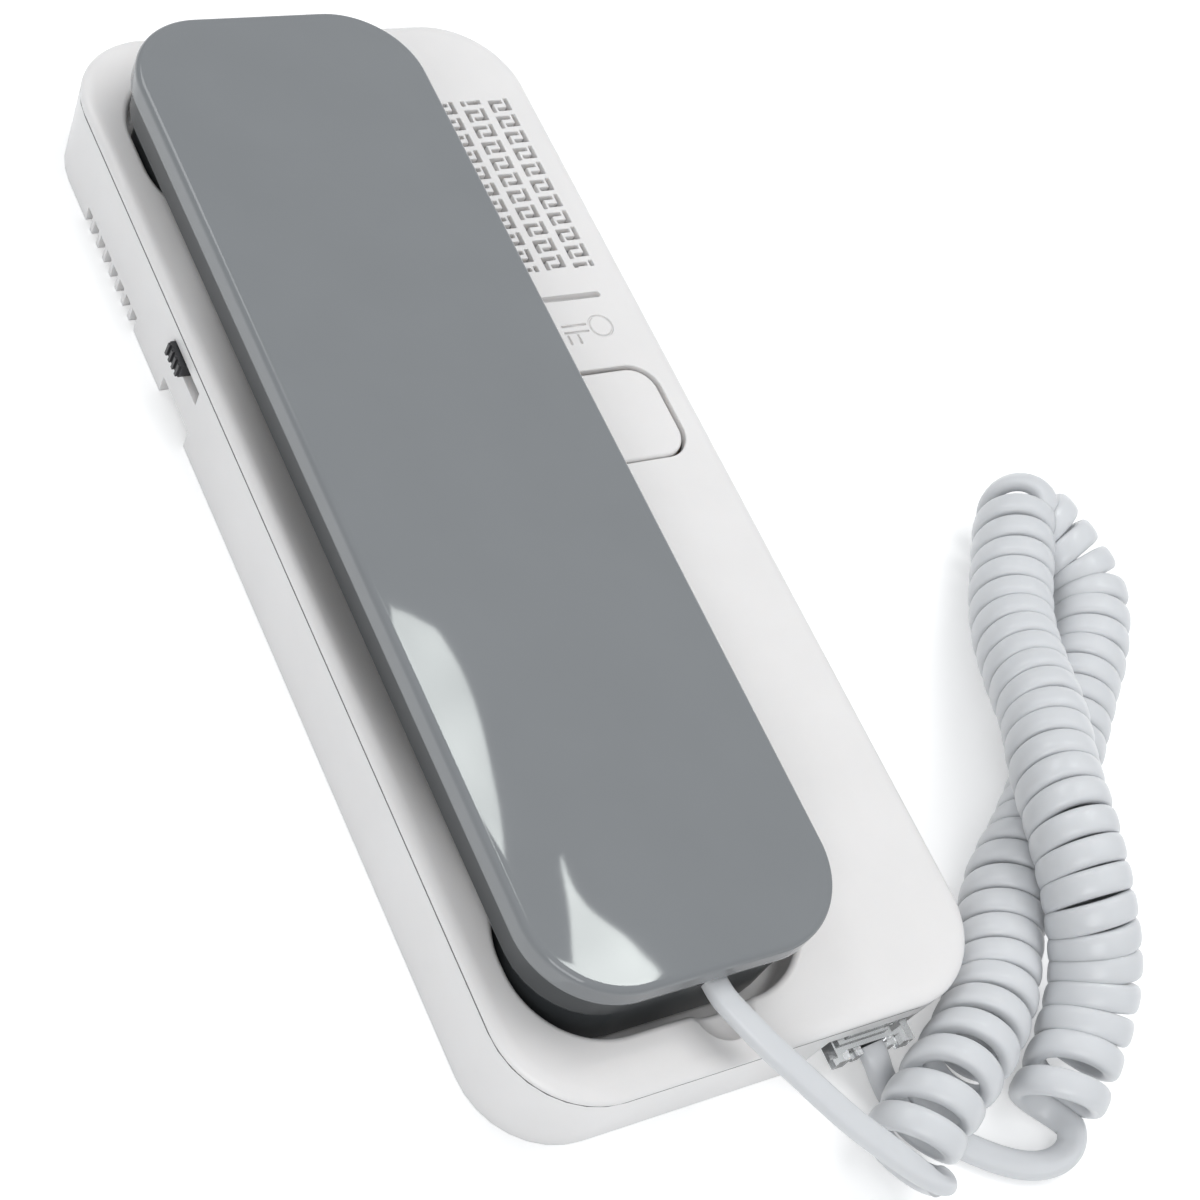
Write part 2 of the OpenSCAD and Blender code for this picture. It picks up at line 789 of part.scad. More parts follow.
module volume_knob() {
  out = -base_half_x - knob_out;
  mid = (knob_low_y + knob_top_y) / 2;
  neck = -inner_half_x + 0.4;
  color(dark) {
    box([out + ridge_out, knob_low_y, volume_height - knob_high / 2],
        [neck, knob_top_y, volume_height + knob_high / 2]);
    for (i = [0 : ridge_count - 1]) {
      y = knob_low_y + 0.2 + i * (knob_length - 1) / (ridge_count - 1);
      box([out, y, volume_height - knob_high / 2],
          [out + ridge_out + 0.1, y + ridge_wide, volume_height + knob_high / 2]);
    }
    box([neck - 0.1, mid - foot_half, foot_low],
        [slide_body_right - slide_wall - slide_play, mid + foot_half, foot_high]);
  }
}

// ---- hook --------------------------------------------------------------------------------------------

arm_low = board_top + 1.4;
arm_high = arm_low + 1.4;
barrel_diameter = 4.8;
barrel_right = lever_x + 0.8;
nose_top = waist_bottom - touch;
spring_wire = 0.6;
spring_radius = 2;
spring_turns = 3.25;
spring_pitch = 0.66;
spring_x = barrel_right + 0.5;
dome_diameter = 4.4;

module hook_lever() {
  left = lever_x - lever_width / 2;
  right = lever_x + lever_width / 2;
  color(white) difference() {
    union() {
      box([left, nose_y - nose_length / 2, arm_low], [right, pin_y - 9, arm_high]);
      box([left, pin_y - 9.5, arm_low], [barrel_right, pin_y, arm_high]);
      rod_x(left, barrel_right, pin_y, hook_pin_height, barrel_diameter);
      box([left, nose_y - nose_length / 2, arm_low],
          [right, nose_y + nose_length / 2, nose_top - nose_length / 2]);
      rod_x(left, right, nose_y, nose_top - nose_length / 2, nose_length);
    }
    rod_x(left - past, right + past, pin_y, hook_pin_height, hook_pin_diameter + 2 * hook_pin_play);
  }
}

module hook_pin() {
  reach = lever_width / 2 + lug_gap + lug_wall;
  color(metal) {
    rod_x(lever_x - reach, lever_x + reach + 0.4, pin_y, hook_pin_height, hook_pin_diameter);
    rod_x(lever_x - reach - 0.8, lever_x - reach, pin_y, hook_pin_height, hook_pin_diameter + 2);
  }
}

// a torsion spring: one leg under the lever, the coil round the pin, one leg up to the cover
module hook_spring() {
  steps = 26;
  leg_low = [[spring_x, pin_y - 12, hook_pin_height - spring_radius]];
  coil = [for (i = [0 : steps]) let (a = 360 * spring_turns * i / steps)
      [spring_x + spring_pitch * a / 360, pin_y + spring_radius * sin(a),
          hook_pin_height - spring_radius * cos(a)]];
  leg_high = [[spring_x + spring_pitch * spring_turns, pin_y + spring_radius, skin_under - 0.05]];
  color(metal) tube(plain_rings(concat(leg_low, coil, leg_high), spring_wire));
}

module hook_switch() {
  color(metal) {
    rod(lever_x, nose_y, board_top, board_top + 0.5, dome_diameter + 2.6);
    rod(lever_x, nose_y, board_top + 0.4, arm_low - touch, dome_diameter);
  }
}

// ---- line terminals ----------------------------------------------------------------------------------

pole_count = 4;
pole_pitch = 4;
block_left = -22;
block_low = -board_length / 2;
block_deep = 7;
block_high = board_top + 5.6;
well_diameter = 3.2;
clamp_screw = 2.8;

module terminal_block() {
  color(green) difference() {
    box([block_left, block_low, board_top],
        [block_left + pole_count * pole_pitch, block_low + block_deep, block_high]);
    for (i = [0 : pole_count - 1]) {
      x = block_left + (i + 0.5) * pole_pitch;
      box([x - 1.2, block_low - past, board_top + 0.8], [x + 1.2, block_low + 5, board_top + 3.2]);
      rod(x, block_low + 3.5, board_top + 1.8, block_high + past, well_diameter);
    }
  }
}

module terminal_screws() {
  color(metal)
    for (i = [0 : pole_count - 1]) {
      x = block_left + (i + 0.5) * pole_pitch;
      difference() {
        rod(x, block_low + 3.5, board_top + 1.9, board_top + 4.7, clamp_screw);
        box([x - 1, block_low + 3.2, board_top + 4], [x + 1, block_low + 3.8, board_top + 5.7]);
      }
    }
}

// ---- cord jack and plug ------------------------------------------------------------------------------

jack_mouth_width = 9.9;
jack_mouth_low = 2.6;
jack_mouth_high = 9.4;
jack_mouth_deep = 9.5;
contact_diameter = 0.5;
contact_count = 4;
plug_width = 9.5;
plug_low = 3.2;
plug_high = 8.8;
plug_tip = jack_front + 8.8;
plug_end = -base_half_y - 0.5;

module base_jack() {
  color(dark) difference() {
    box([plug_x - jack_width / 2, jack_front, jack_bottom], [plug_x + jack_width / 2, jack_back, jack_top]);
    box([plug_x - jack_mouth_width / 2, jack_front - past, jack_mouth_low],
        [plug_x + jack_mouth_width / 2, jack_front + jack_mouth_deep, jack_mouth_high]);
  }
}

module jack_contacts() {
  color(gold)
    for (i = [0 : contact_count - 1])
      rod_y(plug_x + (i - 1.5) * jack_wire_pitch, jack_front + 1.5, jack_front + jack_mouth_deep,
          jack_mouth_high - contact_diameter / 2, contact_diameter);
}

module jack_wires() {
  color(cord_grey)
    for (i = [0 : contact_count - 1])
      rod_y(plug_x + (i - 1.5) * jack_wire_pitch, jack_back, jack_header_y, wire_height, wire_diameter);
}

module modular_plug() {
  ear_out = 6.3;
  ear_wide = 2.2;
  ear_end = plug_end - 1.5;
  post_out = 3.2;
  post_end = plug_end - 1.3;
  color(clear) {
    box([plug_x - plug_width / 2, plug_end + 1.5, plug_low], [plug_x + plug_width / 2, plug_tip, plug_high]);
    box([plug_x - ear_out - 1, plug_end, plug_z - 1.5],
        [plug_x + ear_out + 1, jack_front - touch, plug_z + 1.5]);
    for (s = [-1, 1]) {
      ear_mid = plug_x + s * (ear_out - 0.1);
      post_mid = plug_x + s * post_out;
      box([ear_mid - ear_wide / 2, ear_end, plug_z - 1.5],
          [ear_mid + ear_wide / 2, plug_end + 0.1, plug_z + 1.5]);
      box([post_mid - 0.7, post_end, plug_z - 1.2], [post_mid + 0.7, plug_end + 0.1, plug_z + 1.2]);
    }
  }
}

// ---- handset -----------------------------------------------------------------------------------------

shell_play = 0.1;
outer_skin = 1.8;
shell_ceiling = handset_top - outer_skin;
inner_left = handset_left + shell_step;
inner_right = handset_right - shell_step;
inner_low = handset_low + shell_step;
inner_high = handset_high - shell_step;
inner_round = handset_corner - shell_step;
cup_left = pocket_left + pocket_play;
cup_step = 0.4;
cup_right = min(pocket_right - pocket_play, inner_right - cup_step);
cup_corner = pocket_corner - pocket_play;
ear_cup = [ear_pocket_bottom + pocket_play, min(ear_pocket_top - pocket_play, inner_high - cup_step)];
mouth_cup = [max(mouth_pocket_bottom + pocket_play, inner_low + cup_step), mouth_pocket_top - pocket_play];
cup_floor = cup_bottom + handset_wall;
cup_mid_x = (cup_left + cup_right) / 2;
ear_y = (ear_cup[0] + ear_cup[1]) / 2;
mouth_y = (mouth_cup[0] + mouth_cup[1]) / 2;
handset_screw_y = 40;
handset_screw = 2.4;
counterbore = 5.2;
boss_diameter = 8;
boss_top = waist_bottom + 4;
counterbore_top = waist_bottom + 2.2;
cord_exit_x = 2.5 - handset_x;
cord_exit_z = 24;
ear_hole = 2;
ear_hole_ring = 5;
mouth_hole = 1.6;

module handset_outer_shell() {
  color(grey) {
    difference() {
      layered_body(handset_left, handset_right, handset_low, handset_high, handset_corner,
          [[band_bottom, 0.15], [band_bottom + 0.3, 0], [handset_top - handset_edge, 0],
           [handset_top - 0.6 * handset_edge, 0.1 * handset_edge],
           [handset_top - 0.25 * handset_edge, 0.4 * handset_edge], [handset_top, handset_edge]]);
      round_block(inner_left - shell_play, inner_right + shell_play, inner_low - shell_play,
          inner_high + shell_play, inner_round + shell_play, band_bottom - past, shell_ceiling);
    }
    for (y = [-1, 1]) difference() {
      rod(-handset_x, y * handset_screw_y, boss_top, shell_ceiling + 0.1, 6);
      rod(-handset_x, y * handset_screw_y, boss_top - past, shell_ceiling - 0.8, handset_screw + 0.1);
    }
  }
}

module handset_inner_shell() {
  wall = handset_wall;
  color(grey) difference() {
    union() {
      difference() {
        union() {
          layered_body(inner_left, inner_right, inner_low, inner_high, inner_round,
              [[waist_bottom, 1.4], [waist_bottom + 0.5, 0.5], [waist_bottom + 1.5, 0], [shell_ceiling, 0]]);
          for (y = [ear_cup, mouth_cup])
            layered_body(cup_left, cup_right, y[0], y[1], cup_corner, [[cup_bottom, 1.4],
                [cup_bottom + 0.5, 0.5], [cup_bottom + 1.5, 0], [waist_bottom + 2, 0]]);
        }
        round_block(inner_left + wall, inner_right - wall, inner_low + wall, inner_high - wall,
            inner_round - wall, waist_bottom + wall, shell_ceiling + past);
        for (y = [ear_cup, mouth_cup])
          round_block(cup_left + wall, cup_right - wall, y[0] + wall, y[1] - wall, cup_corner - wall,
              cup_floor, waist_bottom + wall + past);
      }
      for (y = [-1, 1]) rod(-handset_x, y * handset_screw_y, waist_bottom + 0.5, boss_top, boss_diameter);
      difference() {
        rod(cup_mid_x, ear_y, cup_floor - 0.1, cup_floor + 3, earpiece_diameter + 2.8);
        rod(cup_mid_x, ear_y, cup_floor, cup_floor + 3 + past, earpiece_diameter + 0.2);
      }
    }
    for (y = [-1, 1]) {
      rod(-handset_x, y * handset_screw_y, waist_bottom - past, counterbore_top, counterbore);
      rod(-handset_x, y * handset_screw_y, waist_bottom, boss_top + past, handset_screw + 0.4);
    }
    for (i = [0 : 5])
      rod(cup_mid_x + ear_hole_ring * cos(60 * i), ear_y + ear_hole_ring * sin(60 * i), cup_bottom - past,
          cup_floor + past, ear_hole);
    rod(cup_mid_x, ear_y, cup_bottom - past, cup_floor + past, ear_hole);
    for (x = [-1 : 1]) rod(cup_mid_x + 3 * x, mouth_y, cup_bottom - past, cup_floor + past, mouth_hole);
    box([cord_exit_x - cord_width / 2 - 0.1, inner_low - past, cord_exit_z - cord_thickness / 2 - 0.1],
        [cord_exit_x + cord_width / 2 + 0.1, inner_low + wall + past,
            cord_exit_z + cord_thickness / 2 + 0.1]);
  }
}

module handset_screws() {
  color(metal)
    for (y = [-1, 1]) {
      rod(-handset_x, y * handset_screw_y, counterbore_top - 1.6, counterbore_top, counterbore - 0.4);
      rod(-handset_x, y * handset_screw_y, counterbore_top - 0.1, shell_ceiling - 1.2, handset_screw);
    }
}

module earpiece_gasket() {
  color(dark) difference() {
    rod(cup_mid_x, ear_y, cup_floor, cup_floor + gasket_high, earpiece_diameter);
    rod(cup_mid_x, ear_y, cup_floor - past, cup_floor + gasket_high + past, earpiece_diameter - 6);
  }
}

wire_low = waist_bottom + handset_wall + 1.3;
handset_wire_x = [cord_exit_x + 4.4, cord_exit_x + 5.7];
anchor_back = inner_low + handset_wall + 7;
anchor_low = waist_bottom + handset_wall;
ear_tab_y = ear_y - 9;

module earpiece() {
  low = cup_floor + gasket_high;
  color(metal) {
    rod(cup_mid_x, ear_y, low, low + 5, earpiece_diameter);
    rod(cup_mid_x, ear_y, low + 4.9, low + 7.2, earpiece_diameter - 3);
    box([handset_wire_x[0] - 0.8, ear_tab_y, low + 4.9],
        [handset_wire_x[1] + 0.8, ear_tab_y + 3, wire_low + 0.8]);
  }
}

module microphone_boot() {
  color(dark) difference() {
    rod(cup_mid_x, mouth_y, cup_floor, cup_floor + 6, microphone_diameter + 3.4);
    rod(cup_mid_x, mouth_y, cup_floor + 0.8, cup_floor + 6 + past, microphone_diameter + 0.1);
    rod(cup_mid_x, mouth_y, cup_floor - past, cup_floor + 2, microphone_diameter - 2);
  }
}

module microphone() {
  color(metal) rod(cup_mid_x, mouth_y, cup_floor + 0.8, cup_floor + 7.4, microphone_diameter);
}

// the clamp block inside the mouth end, with the cord's stub in the end wall
module cord_anchor() {
  face = inner_low + handset_wall;
  color(white) {
    box([cord_exit_x - 5, face, anchor_low], [cord_exit_x + 6.5, anchor_back, cord_exit_z + 3]);
    box([cord_exit_x - cord_width / 2, inner_low, cord_exit_z - cord_thickness / 2],
        [cord_exit_x + cord_width / 2, face + 0.1, cord_exit_z + cord_thickness / 2]);
  }
}

module handset_wires() {
  color(dark)
    for (x = handset_wire_x) rod_y(x, anchor_back, ear_tab_y, wire_low, wire_diameter);
}

// ---- cord --------------------------------------------------------------------------------------------

// The coil's axis. Its first and last points only steer its ends.
coil_route = [[7, -125.5, 5],
    [16.8, -118.6, 8.5], [26.2, -112.2, 11.3], [36.9, -106.3, 10.4], [45.8, -99.8, 8.8],
    [53.1, -91.4, 7.8],
    [61, -83, 7.6], [70.3, -76.3, 7.6], [79.3, -69.1, 7.6], [87.5, -61, 7.6], [95.7, -52.8, 7.6],
    [103.9, -44.4, 7.6], [109.6, -33.4, 7.8], [104, -17.8, 9.8], [92, -30.8, 11.5], [84.9, -40.9, 13],
    [79.5, -51, 16], [74.4, -61.3, 19.6], [68.7, -71.6, 21.8], [64.9, -82.6, 22.7], [62.8, -93.5, 20.3],
    [61.4, -103.2, 15], [56, -111.6, 10.2], [46.8, -119.8, 6.4], [41.5, -125, -6]];
coil_steps = len(coil_route) - 3;
curls = 43.375;
rings_per_curl = 8;
coil_stub = 1;
coil_radius = coil_diameter / 2 - cord_thickness / 2;

// The free leads: points of [x, y, z, turn of the flat side]. Each ends at one end of the coil.
handset_lead_route = [[-10, -89.05, 24, 0], [-9.8, -92.2, 24, 0], [-7.4, -96.2, 23.6, 0],
    [-4.9, -101, 22.8, 0], [-1.9, -105.6, 21.7, 0], [1.3, -110, 20.4, 0], [4.7, -114, 18.9, 0],
    [8.6, -117.8, 17.2, 0], [12.6, -121.4, 15.4, 10], [16.2, -124, 13.5, 30], [18.7, -124.9, 11.6, 55]];
base_lead_route = [[22.5, -100.5, 6, 0], [22.7, -102.8, 5.6, 0], [23.4, -105.2, 4, 0],
    [24.5, -107.8, 2.4, 0], [26.1, -110.7, 1.7, 0], [28.7, -114.2, 1.65, 0], [31.9, -117.7, 1.65, 0],
    [35.6, -121, 1.7, 0], [39.6, -123.8, 1.75, 5], [43.8, -125.6, 1.9, 20], [47.8, -125.9, 2.3, 40],
    [50.7, -124.6, 3, 60]];
lead_steps = 3;
lead_turn = 80;        // how far a lead has turned its flat side at the coil
lead_run = 3;          // a lead's last span there

function unit(v) = v / norm(v);
function xyz(p) = [p[0], p[1], p[2]];

// a smooth curve through points 1 to n - 2 of a list, by the turn of u
function curve(p, u) = let (i = min(floor(u), len(p) - 4), t = u - i, a = p[i], b = p[i + 1], c = p[i + 2],
    d = p[i + 3]) (2 * b + (c - a) * t + (2 * a - 5 * b + 4 * c - d) * t * t
    + (3 * b - a - 3 * c + d) * t * t * t) / 2;
function curve_heading(p, u) = let (last = len(p) - 3, low = max(u - 0.01, 0), high = min(u + 0.01, last))
    unit(xyz(curve(p, high)) - xyz(curve(p, low)));

// the coil's frame and centre line by the number of curls, which begin on its right side
function coil_along(n) = curve_heading(coil_route, n * coil_steps / curls);
function coil_centre(n) = curve(coil_route, n * coil_steps / curls);
function coil_right(n) = unit(cross(coil_along(n), [0, 0, 1]));
function coil_up(n) = cross(coil_right(n), coil_along(n));
function coil_out(n) = cos(360 * n) * coil_right(n) - sin(360 * n) * coil_up(n);
function coil_point(n) = coil_centre(n) + coil_radius * coil_out(n);
function coil_heading(n) = let (low = max(n - 0.01, 0), high = min(n + 0.01, curls))
    unit(coil_point(high) - coil_point(low));

// an oval ring of points across a tube
function ring(centre, flat, side, width, thick, sides) = [for (k = [0 : sides - 1])
    let (a = 360 * (k + 0.5 * (sides == 8 ? 1 : 0)) / sides)
    centre + flat * cos(a) * width / 2 + side * sin(a) * thick / 2];

function coil_ring(n, shift) = let (go = coil_heading(n), out = unit(coil_out(n) - go * (go * coil_out(n))))
    ring(coil_point(n) + shift * go, cross(go, out), out, cord_width, cord_thickness, 6);

coil_rings = concat([coil_ring(0, -coil_stub)],
    [for (i = [0 : curls * rings_per_curl]) coil_ring(i / rings_per_curl, 0)],
    [coil_ring(curls, coil_stub)]);

// a lead from its own end to one end of the coil, heading along go there
function lead_path(route, end, go) = concat([2 * route[0] - route[1]], route,
    [concat(end, [lead_turn]), concat(end + lead_run * go, [lead_turn])]);
function lead_ring(path, u) = let (at = curve(path, u), go = curve_heading(path, u),
    side = unit(cross(go, [0, 0, 1])), up = cross(side, go), tilt = at[3])
    ring(xyz(at), side * cos(tilt) + up * sin(tilt), up * cos(tilt) - side * sin(tilt), cord_width,
        cord_thickness, 8);
function lead_rings(path) = [for (i = [0 : (len(path) - 3) * lead_steps]) lead_ring(path, i / lead_steps)];

coil_start = coil_point(0) - coil_stub * coil_heading(0);
coil_end = coil_point(curls) + coil_stub * coil_heading(curls);

// round rings along straight runs and a spring's coil
function plain_heading(p, i) = unit(p[min(i + 1, len(p) - 1)] - p[max(i - 1, 0)]);
function plain_rings(p, d) = [for (i = [0 : len(p) - 1])
    let (go = plain_heading(p, i), side = unit(cross(go, [1, 0.02, 0.01])), up = cross(side, go))
    ring(p[i], side, up, d, d, 6)];

// a closed tube through rings of points
module tube(rings) {
  sides = len(rings[0]);
  last = (len(rings) - 1) * sides;
  walls = [for (i = [0 : len(rings) - 2], k = [0 : sides - 1]) let (a = i * sides + k,
      b = i * sides + (k + 1) % sides) each [[a, a + sides, b + sides], [a, b + sides, b]]];
  caps = [for (k = [1 : sides - 2]) each [[0, k, k + 1], [last, last + k + 1, last + k]]];
  polyhedron(points = [for (r = rings) each r], faces = concat(walls, caps));
}

module cord_coil() {
  color(cord_grey) tube(coil_rings);
}

module cord_lead_handset() {
  color(cord_grey) tube(lead_rings(lead_path(handset_lead_route, coil_start, coil_heading(0))));
}

module cord_lead_base() {
  color(cord_grey) tube(lead_rings(lead_path(base_lead_route, coil_end, -coil_heading(curls))));
}

// the least distance between points of the coil that lie half a curl or more apart
near = coil_diameter / 2;
coil_centres = [for (r = coil_rings) (r[0] + r[3]) / 2];
function ring_gap(a, b) = min([for (p = a, q = b) norm(p - q)]);
coil_gap = min([for (i = [0 : len(coil_rings) - 6], j = [i + 5 : len(coil_rings) - 1])
    if (norm(coil_centres[i] - coil_centres[j]) < near) ring_gap(coil_rings[i], coil_rings[j])]);
echo(coil_gap = coil_gap, curls = curls);  // cord_coil

rear_cover();
front_cover();
circuit_board();
board_components();
board_capacitors();
board_connectors();
board_screws();
call_speaker();
speaker_gasket();
speaker_retainer();
speaker_wires();
door_button();
door_switch();
door_switch_plunger();
volume_switch();
volume_knob();
hook_lever();
hook_pin();
hook_spring();
hook_switch();
terminal_block();
terminal_screws();
base_jack();
jack_contacts();
jack_wires();
handset_outer_shell();
handset_inner_shell();
handset_screws();
earpiece();
earpiece_gasket();
microphone();
microphone_boot();
cord_anchor();
handset_wires();
cord_lead_handset();
cord_coil();
cord_lead_base();
modular_plug();
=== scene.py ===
import bisect
import math

import bpy
from mathutils import Matrix, Vector
from mathutils.geometry import delaunay_2d_cdt


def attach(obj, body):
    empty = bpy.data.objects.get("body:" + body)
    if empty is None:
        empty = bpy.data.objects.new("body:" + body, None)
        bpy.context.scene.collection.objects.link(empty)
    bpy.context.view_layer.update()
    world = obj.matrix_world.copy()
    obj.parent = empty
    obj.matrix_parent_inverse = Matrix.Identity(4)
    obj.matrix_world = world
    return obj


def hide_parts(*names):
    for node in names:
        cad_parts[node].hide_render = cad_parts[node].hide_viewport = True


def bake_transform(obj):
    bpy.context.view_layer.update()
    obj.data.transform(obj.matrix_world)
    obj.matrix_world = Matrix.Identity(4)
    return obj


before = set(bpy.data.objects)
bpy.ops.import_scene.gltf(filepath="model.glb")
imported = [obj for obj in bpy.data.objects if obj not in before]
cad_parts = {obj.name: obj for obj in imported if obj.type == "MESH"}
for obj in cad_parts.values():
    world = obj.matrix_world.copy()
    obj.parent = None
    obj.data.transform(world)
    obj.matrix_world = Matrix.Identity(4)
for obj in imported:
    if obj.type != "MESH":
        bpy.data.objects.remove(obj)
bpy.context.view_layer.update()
MM = 0.001
UP = Vector((0, 0, 1))


# ---- camera ------------------------------------------------------------------------------------------

CAMERA_AT = Vector((-204.645, -177.817, 318.128)) * MM
CAMERA_AZIMUTH, CAMERA_ELEVATION, CAMERA_ROLL = (math.radians(a) for a in (-53.64, 48.93, 34.58))
CAMERA_LENS, SENSOR_WIDTH = 75.78, 36
CLIP_NEAR, CLIP_FAR = 0.01, 20


def make_camera():
    back = Vector((math.sin(CAMERA_AZIMUTH) * math.cos(CAMERA_ELEVATION),
                   -math.cos(CAMERA_AZIMUTH) * math.cos(CAMERA_ELEVATION), math.sin(CAMERA_ELEVATION)))
    side = (-back).cross(UP).normalized()
    up = side.cross(-back)
    right = math.cos(CAMERA_ROLL) * side + math.sin(CAMERA_ROLL) * up
    top = -math.sin(CAMERA_ROLL) * side + math.cos(CAMERA_ROLL) * up
    data = bpy.data.cameras.new("camera")
    data.sensor_width = SENSOR_WIDTH
    data.lens = CAMERA_LENS
    data.clip_start, data.clip_end = CLIP_NEAR, CLIP_FAR
    camera = bpy.data.objects.new("camera", data)
    camera.matrix_world = Matrix((right, top, back)).transposed().to_4x4()
    camera.location = CAMERA_AT
    bpy.context.scene.collection.objects.link(camera)
    bpy.context.scene.camera = camera


make_camera()


# ---- mesh helpers ------------------------------------------------------------------------------------

def new_object(name, points, faces, material, normals=None):
    """A smooth mesh from points in millimetres."""
    mesh = bpy.data.meshes.new(name)
    mesh.from_pydata([Vector(p) * MM for p in points], [], faces)
    mesh.validate()
    mesh.shade_smooth()
    obj = bpy.data.objects.new(name, mesh)
    bpy.context.scene.collection.objects.link(obj)
    if normals is not None:
        mesh.normals_split_custom_set_from_vertices(normals)
    mesh.materials.append(material)
    return obj


def tube(name, rings, material, normals):
    """A closed tube through rings of points, with a normal at every point."""
    sides = len(rings[0])
    points = [p for ring in rings for p in ring]
    faces = []
    for i in range(len(rings) - 1):
        for k in range(sides):
            a, b = i * sides + k, i * sides + (k + 1) % sides
            faces.append((a, a + sides, b + sides, b))
    faces.append(tuple(range(sides)))
    last = (len(rings) - 1) * sides
    faces.append(tuple(range(last + sides - 1, last - 1, -1)))
    return new_object(name, points, faces, material, normals)


# ---- cord --------------------------------------------------------------------------------------------

# the coil's axis, as in the part's source; the first and last points only steer its ends
COIL_ROUTE = [
    (7, -125.5, 5), (16.8, -118.6, 8.5), (26.2, -112.2, 11.3), (36.9, -106.3, 10.4), (45.8, -99.8, 8.8),
    (53.1, -91.4, 7.8), (61, -83, 7.6), (70.3, -76.3, 7.6), (79.3, -69.1, 7.6), (87.5, -61, 7.6),
    (95.7, -52.8, 7.6), (103.9, -44.4, 7.6), (109.6, -33.4, 7.8), (104, -17.8, 9.8), (92, -30.8, 11.5),
    (84.9, -40.9, 13), (79.5, -51, 16), (74.4, -61.3, 19.6), (68.7, -71.6, 21.8), (64.9, -82.6, 22.7),
    (62.8, -93.5, 20.3), (61.4, -103.2, 15), (56, -111.6, 10.2), (46.8, -119.8, 6.4), (41.5, -125, -6)]
# the free leads: x, y, z and the turn of the flat side; three points of the handset lead lie up to
# 0.4 mm beside the source's
HANDSET_LEAD = [
    (-10, -89.05, 24, 0), (-9.6, -92.2, 24, 0), (-7.8, -96.2, 23.6, 0), (-5.1, -101, 22.8, 0),
    (-1.9, -105.6, 21.7, 0), (1.3, -110, 20.4, 0), (4.7, -114, 18.9, 0), (8.6, -117.8, 17.2, 0),
    (12.6, -121.4, 15.4, 10), (16.2, -124, 13.5, 30), (18.7, -124.9, 11.6, 55)]
BASE_LEAD = [
    (22.5, -100.5, 6, 0), (22.7, -102.8, 5.6, 0), (23.4, -105.2, 4, 0), (24.5, -107.8, 2.4, 0),
    (26.1, -110.7, 1.7, 0), (28.7, -114.2, 1.65, 0), (31.9, -117.7, 1.65, 0), (35.6, -121, 1.7, 0),
    (39.6, -123.8, 1.75, 5), (43.8, -125.6, 1.9, 20), (47.8, -125.9, 2.3, 40), (50.7, -124.6, 3, 60)]
CORD_WIDTH = 4.6
LEAD_WIDTH = 3.9        # where the cord leaves the handset
CORD_THICKNESS = 2.9
CORD_SQUARE = 3.0       # 2 is an ellipse
COIL_DIAMETER = 14.9
COIL_LIFT = 0.2         # keeps the fuller curls off the floor
COIL_STUB = 1           # straight stub at each end of the coil
LEAD_RUN = 3            # a lead's last span at the coil
LEAD_TURN = 80          # how far a lead has turned its flat side there
CURLS = 53.375
# the spacing of the curls along the route, relative
SPACING = [5.6, 6.6, 5.9, 5.2, 5, 5, 5, 5, 5, 5, 5, 5.4, 5.4, 5, 5, 4.85, 4.6, 4.5, 4.25, 4.3, 4.9, 6.2]
FINE = 30               # measured steps in each span of the route
RINGS_PER_CURL = 40
LEAD_RINGS_PER_STEP = 8
MATCH_FROM = 0.55       # where a lead begins to turn its flat side to the coil's
CORD_SIDES = 24


def curve(points, u):
    """A smooth curve through all but the first and last of some points."""
    i = max(0, min(int(u), len(points) - 4))
    t = u - i
    a, b, c, d = (Vector(p) for p in points[i:i + 4])
    square, cube = 2 * a - 5 * b + 4 * c - d, 3 * b - a - 3 * c + d
    return (2 * b + (c - a) * t + square * t ** 2 + cube * t ** 3) / 2


def heading(point_at, u, low, high, step=0.01):
    return (point_at(min(u + step, high)) - point_at(max(u - step, low))).normalized()


def oval(centre, flat, side, width, thick):
    """A rounded oval ring: a little squarer than an ellipse, as an extruded flat cord is."""
    ring = []
    for k in range(CORD_SIDES):
        a = 2 * math.pi * k / CORD_SIDES
        c, s = math.cos(a), math.sin(a)
        squared = (abs(c) ** CORD_SQUARE + abs(s) ** CORD_SQUARE) ** (-1 / CORD_SQUARE)
        ring.append(centre + flat * (c * squared * width / 2) + side * (s * squared * thick / 2))
    return ring


def spread_curls():
    """The number of curls up to each fine step of the route."""
    counts = [0]
    for k in range(len(SPACING) * FINE):
        run = (curve(COIL_ROUTE, (k + 1) / FINE) - curve(COIL_ROUTE, k / FINE)).length
        counts.append(counts[-1] + run / SPACING[k // FINE])
    return [CURLS * c / counts[-1] for c in counts]


CURL_COUNTS = spread_curls()


def coil_place(n):
    """Where curl n lies along the route."""
    k = max(1, min(bisect.bisect_left(CURL_COUNTS, n), len(CURL_COUNTS) - 1))
    low, high = CURL_COUNTS[k - 1], CURL_COUNTS[k]
    return (k - 1 + (n - low) / (high - low)) / FINE


def coil_axis(n):
    return curve(COIL_ROUTE, coil_place(n)) + Vector((0, 0, COIL_LIFT))


def coil_out(n):
    go = heading(coil_axis, n, 0, CURLS, step=0.05)
    right = go.cross(UP).normalized()
    up = right.cross(go)
    angle = 2 * math.pi * n
    return math.cos(angle) * right - math.sin(angle) * up


def coil_point(n):
    return coil_axis(n) + coil_out(n) * (COIL_DIAMETER - CORD_THICKNESS) / 2


def coil_rings():
    """Frames along the coil: centre, heading and the way its flat side lies."""
    rings = []
    for i in range(round(CURLS * RINGS_PER_CURL) + 1):
        n = i / RINGS_PER_CURL
        go = heading(coil_point, n, 0, CURLS)
        out = coil_out(n)
        out = (out - go * go.dot(out)).normalized()
        rings.append((coil_point(n), go, go.cross(out)))
    return rings


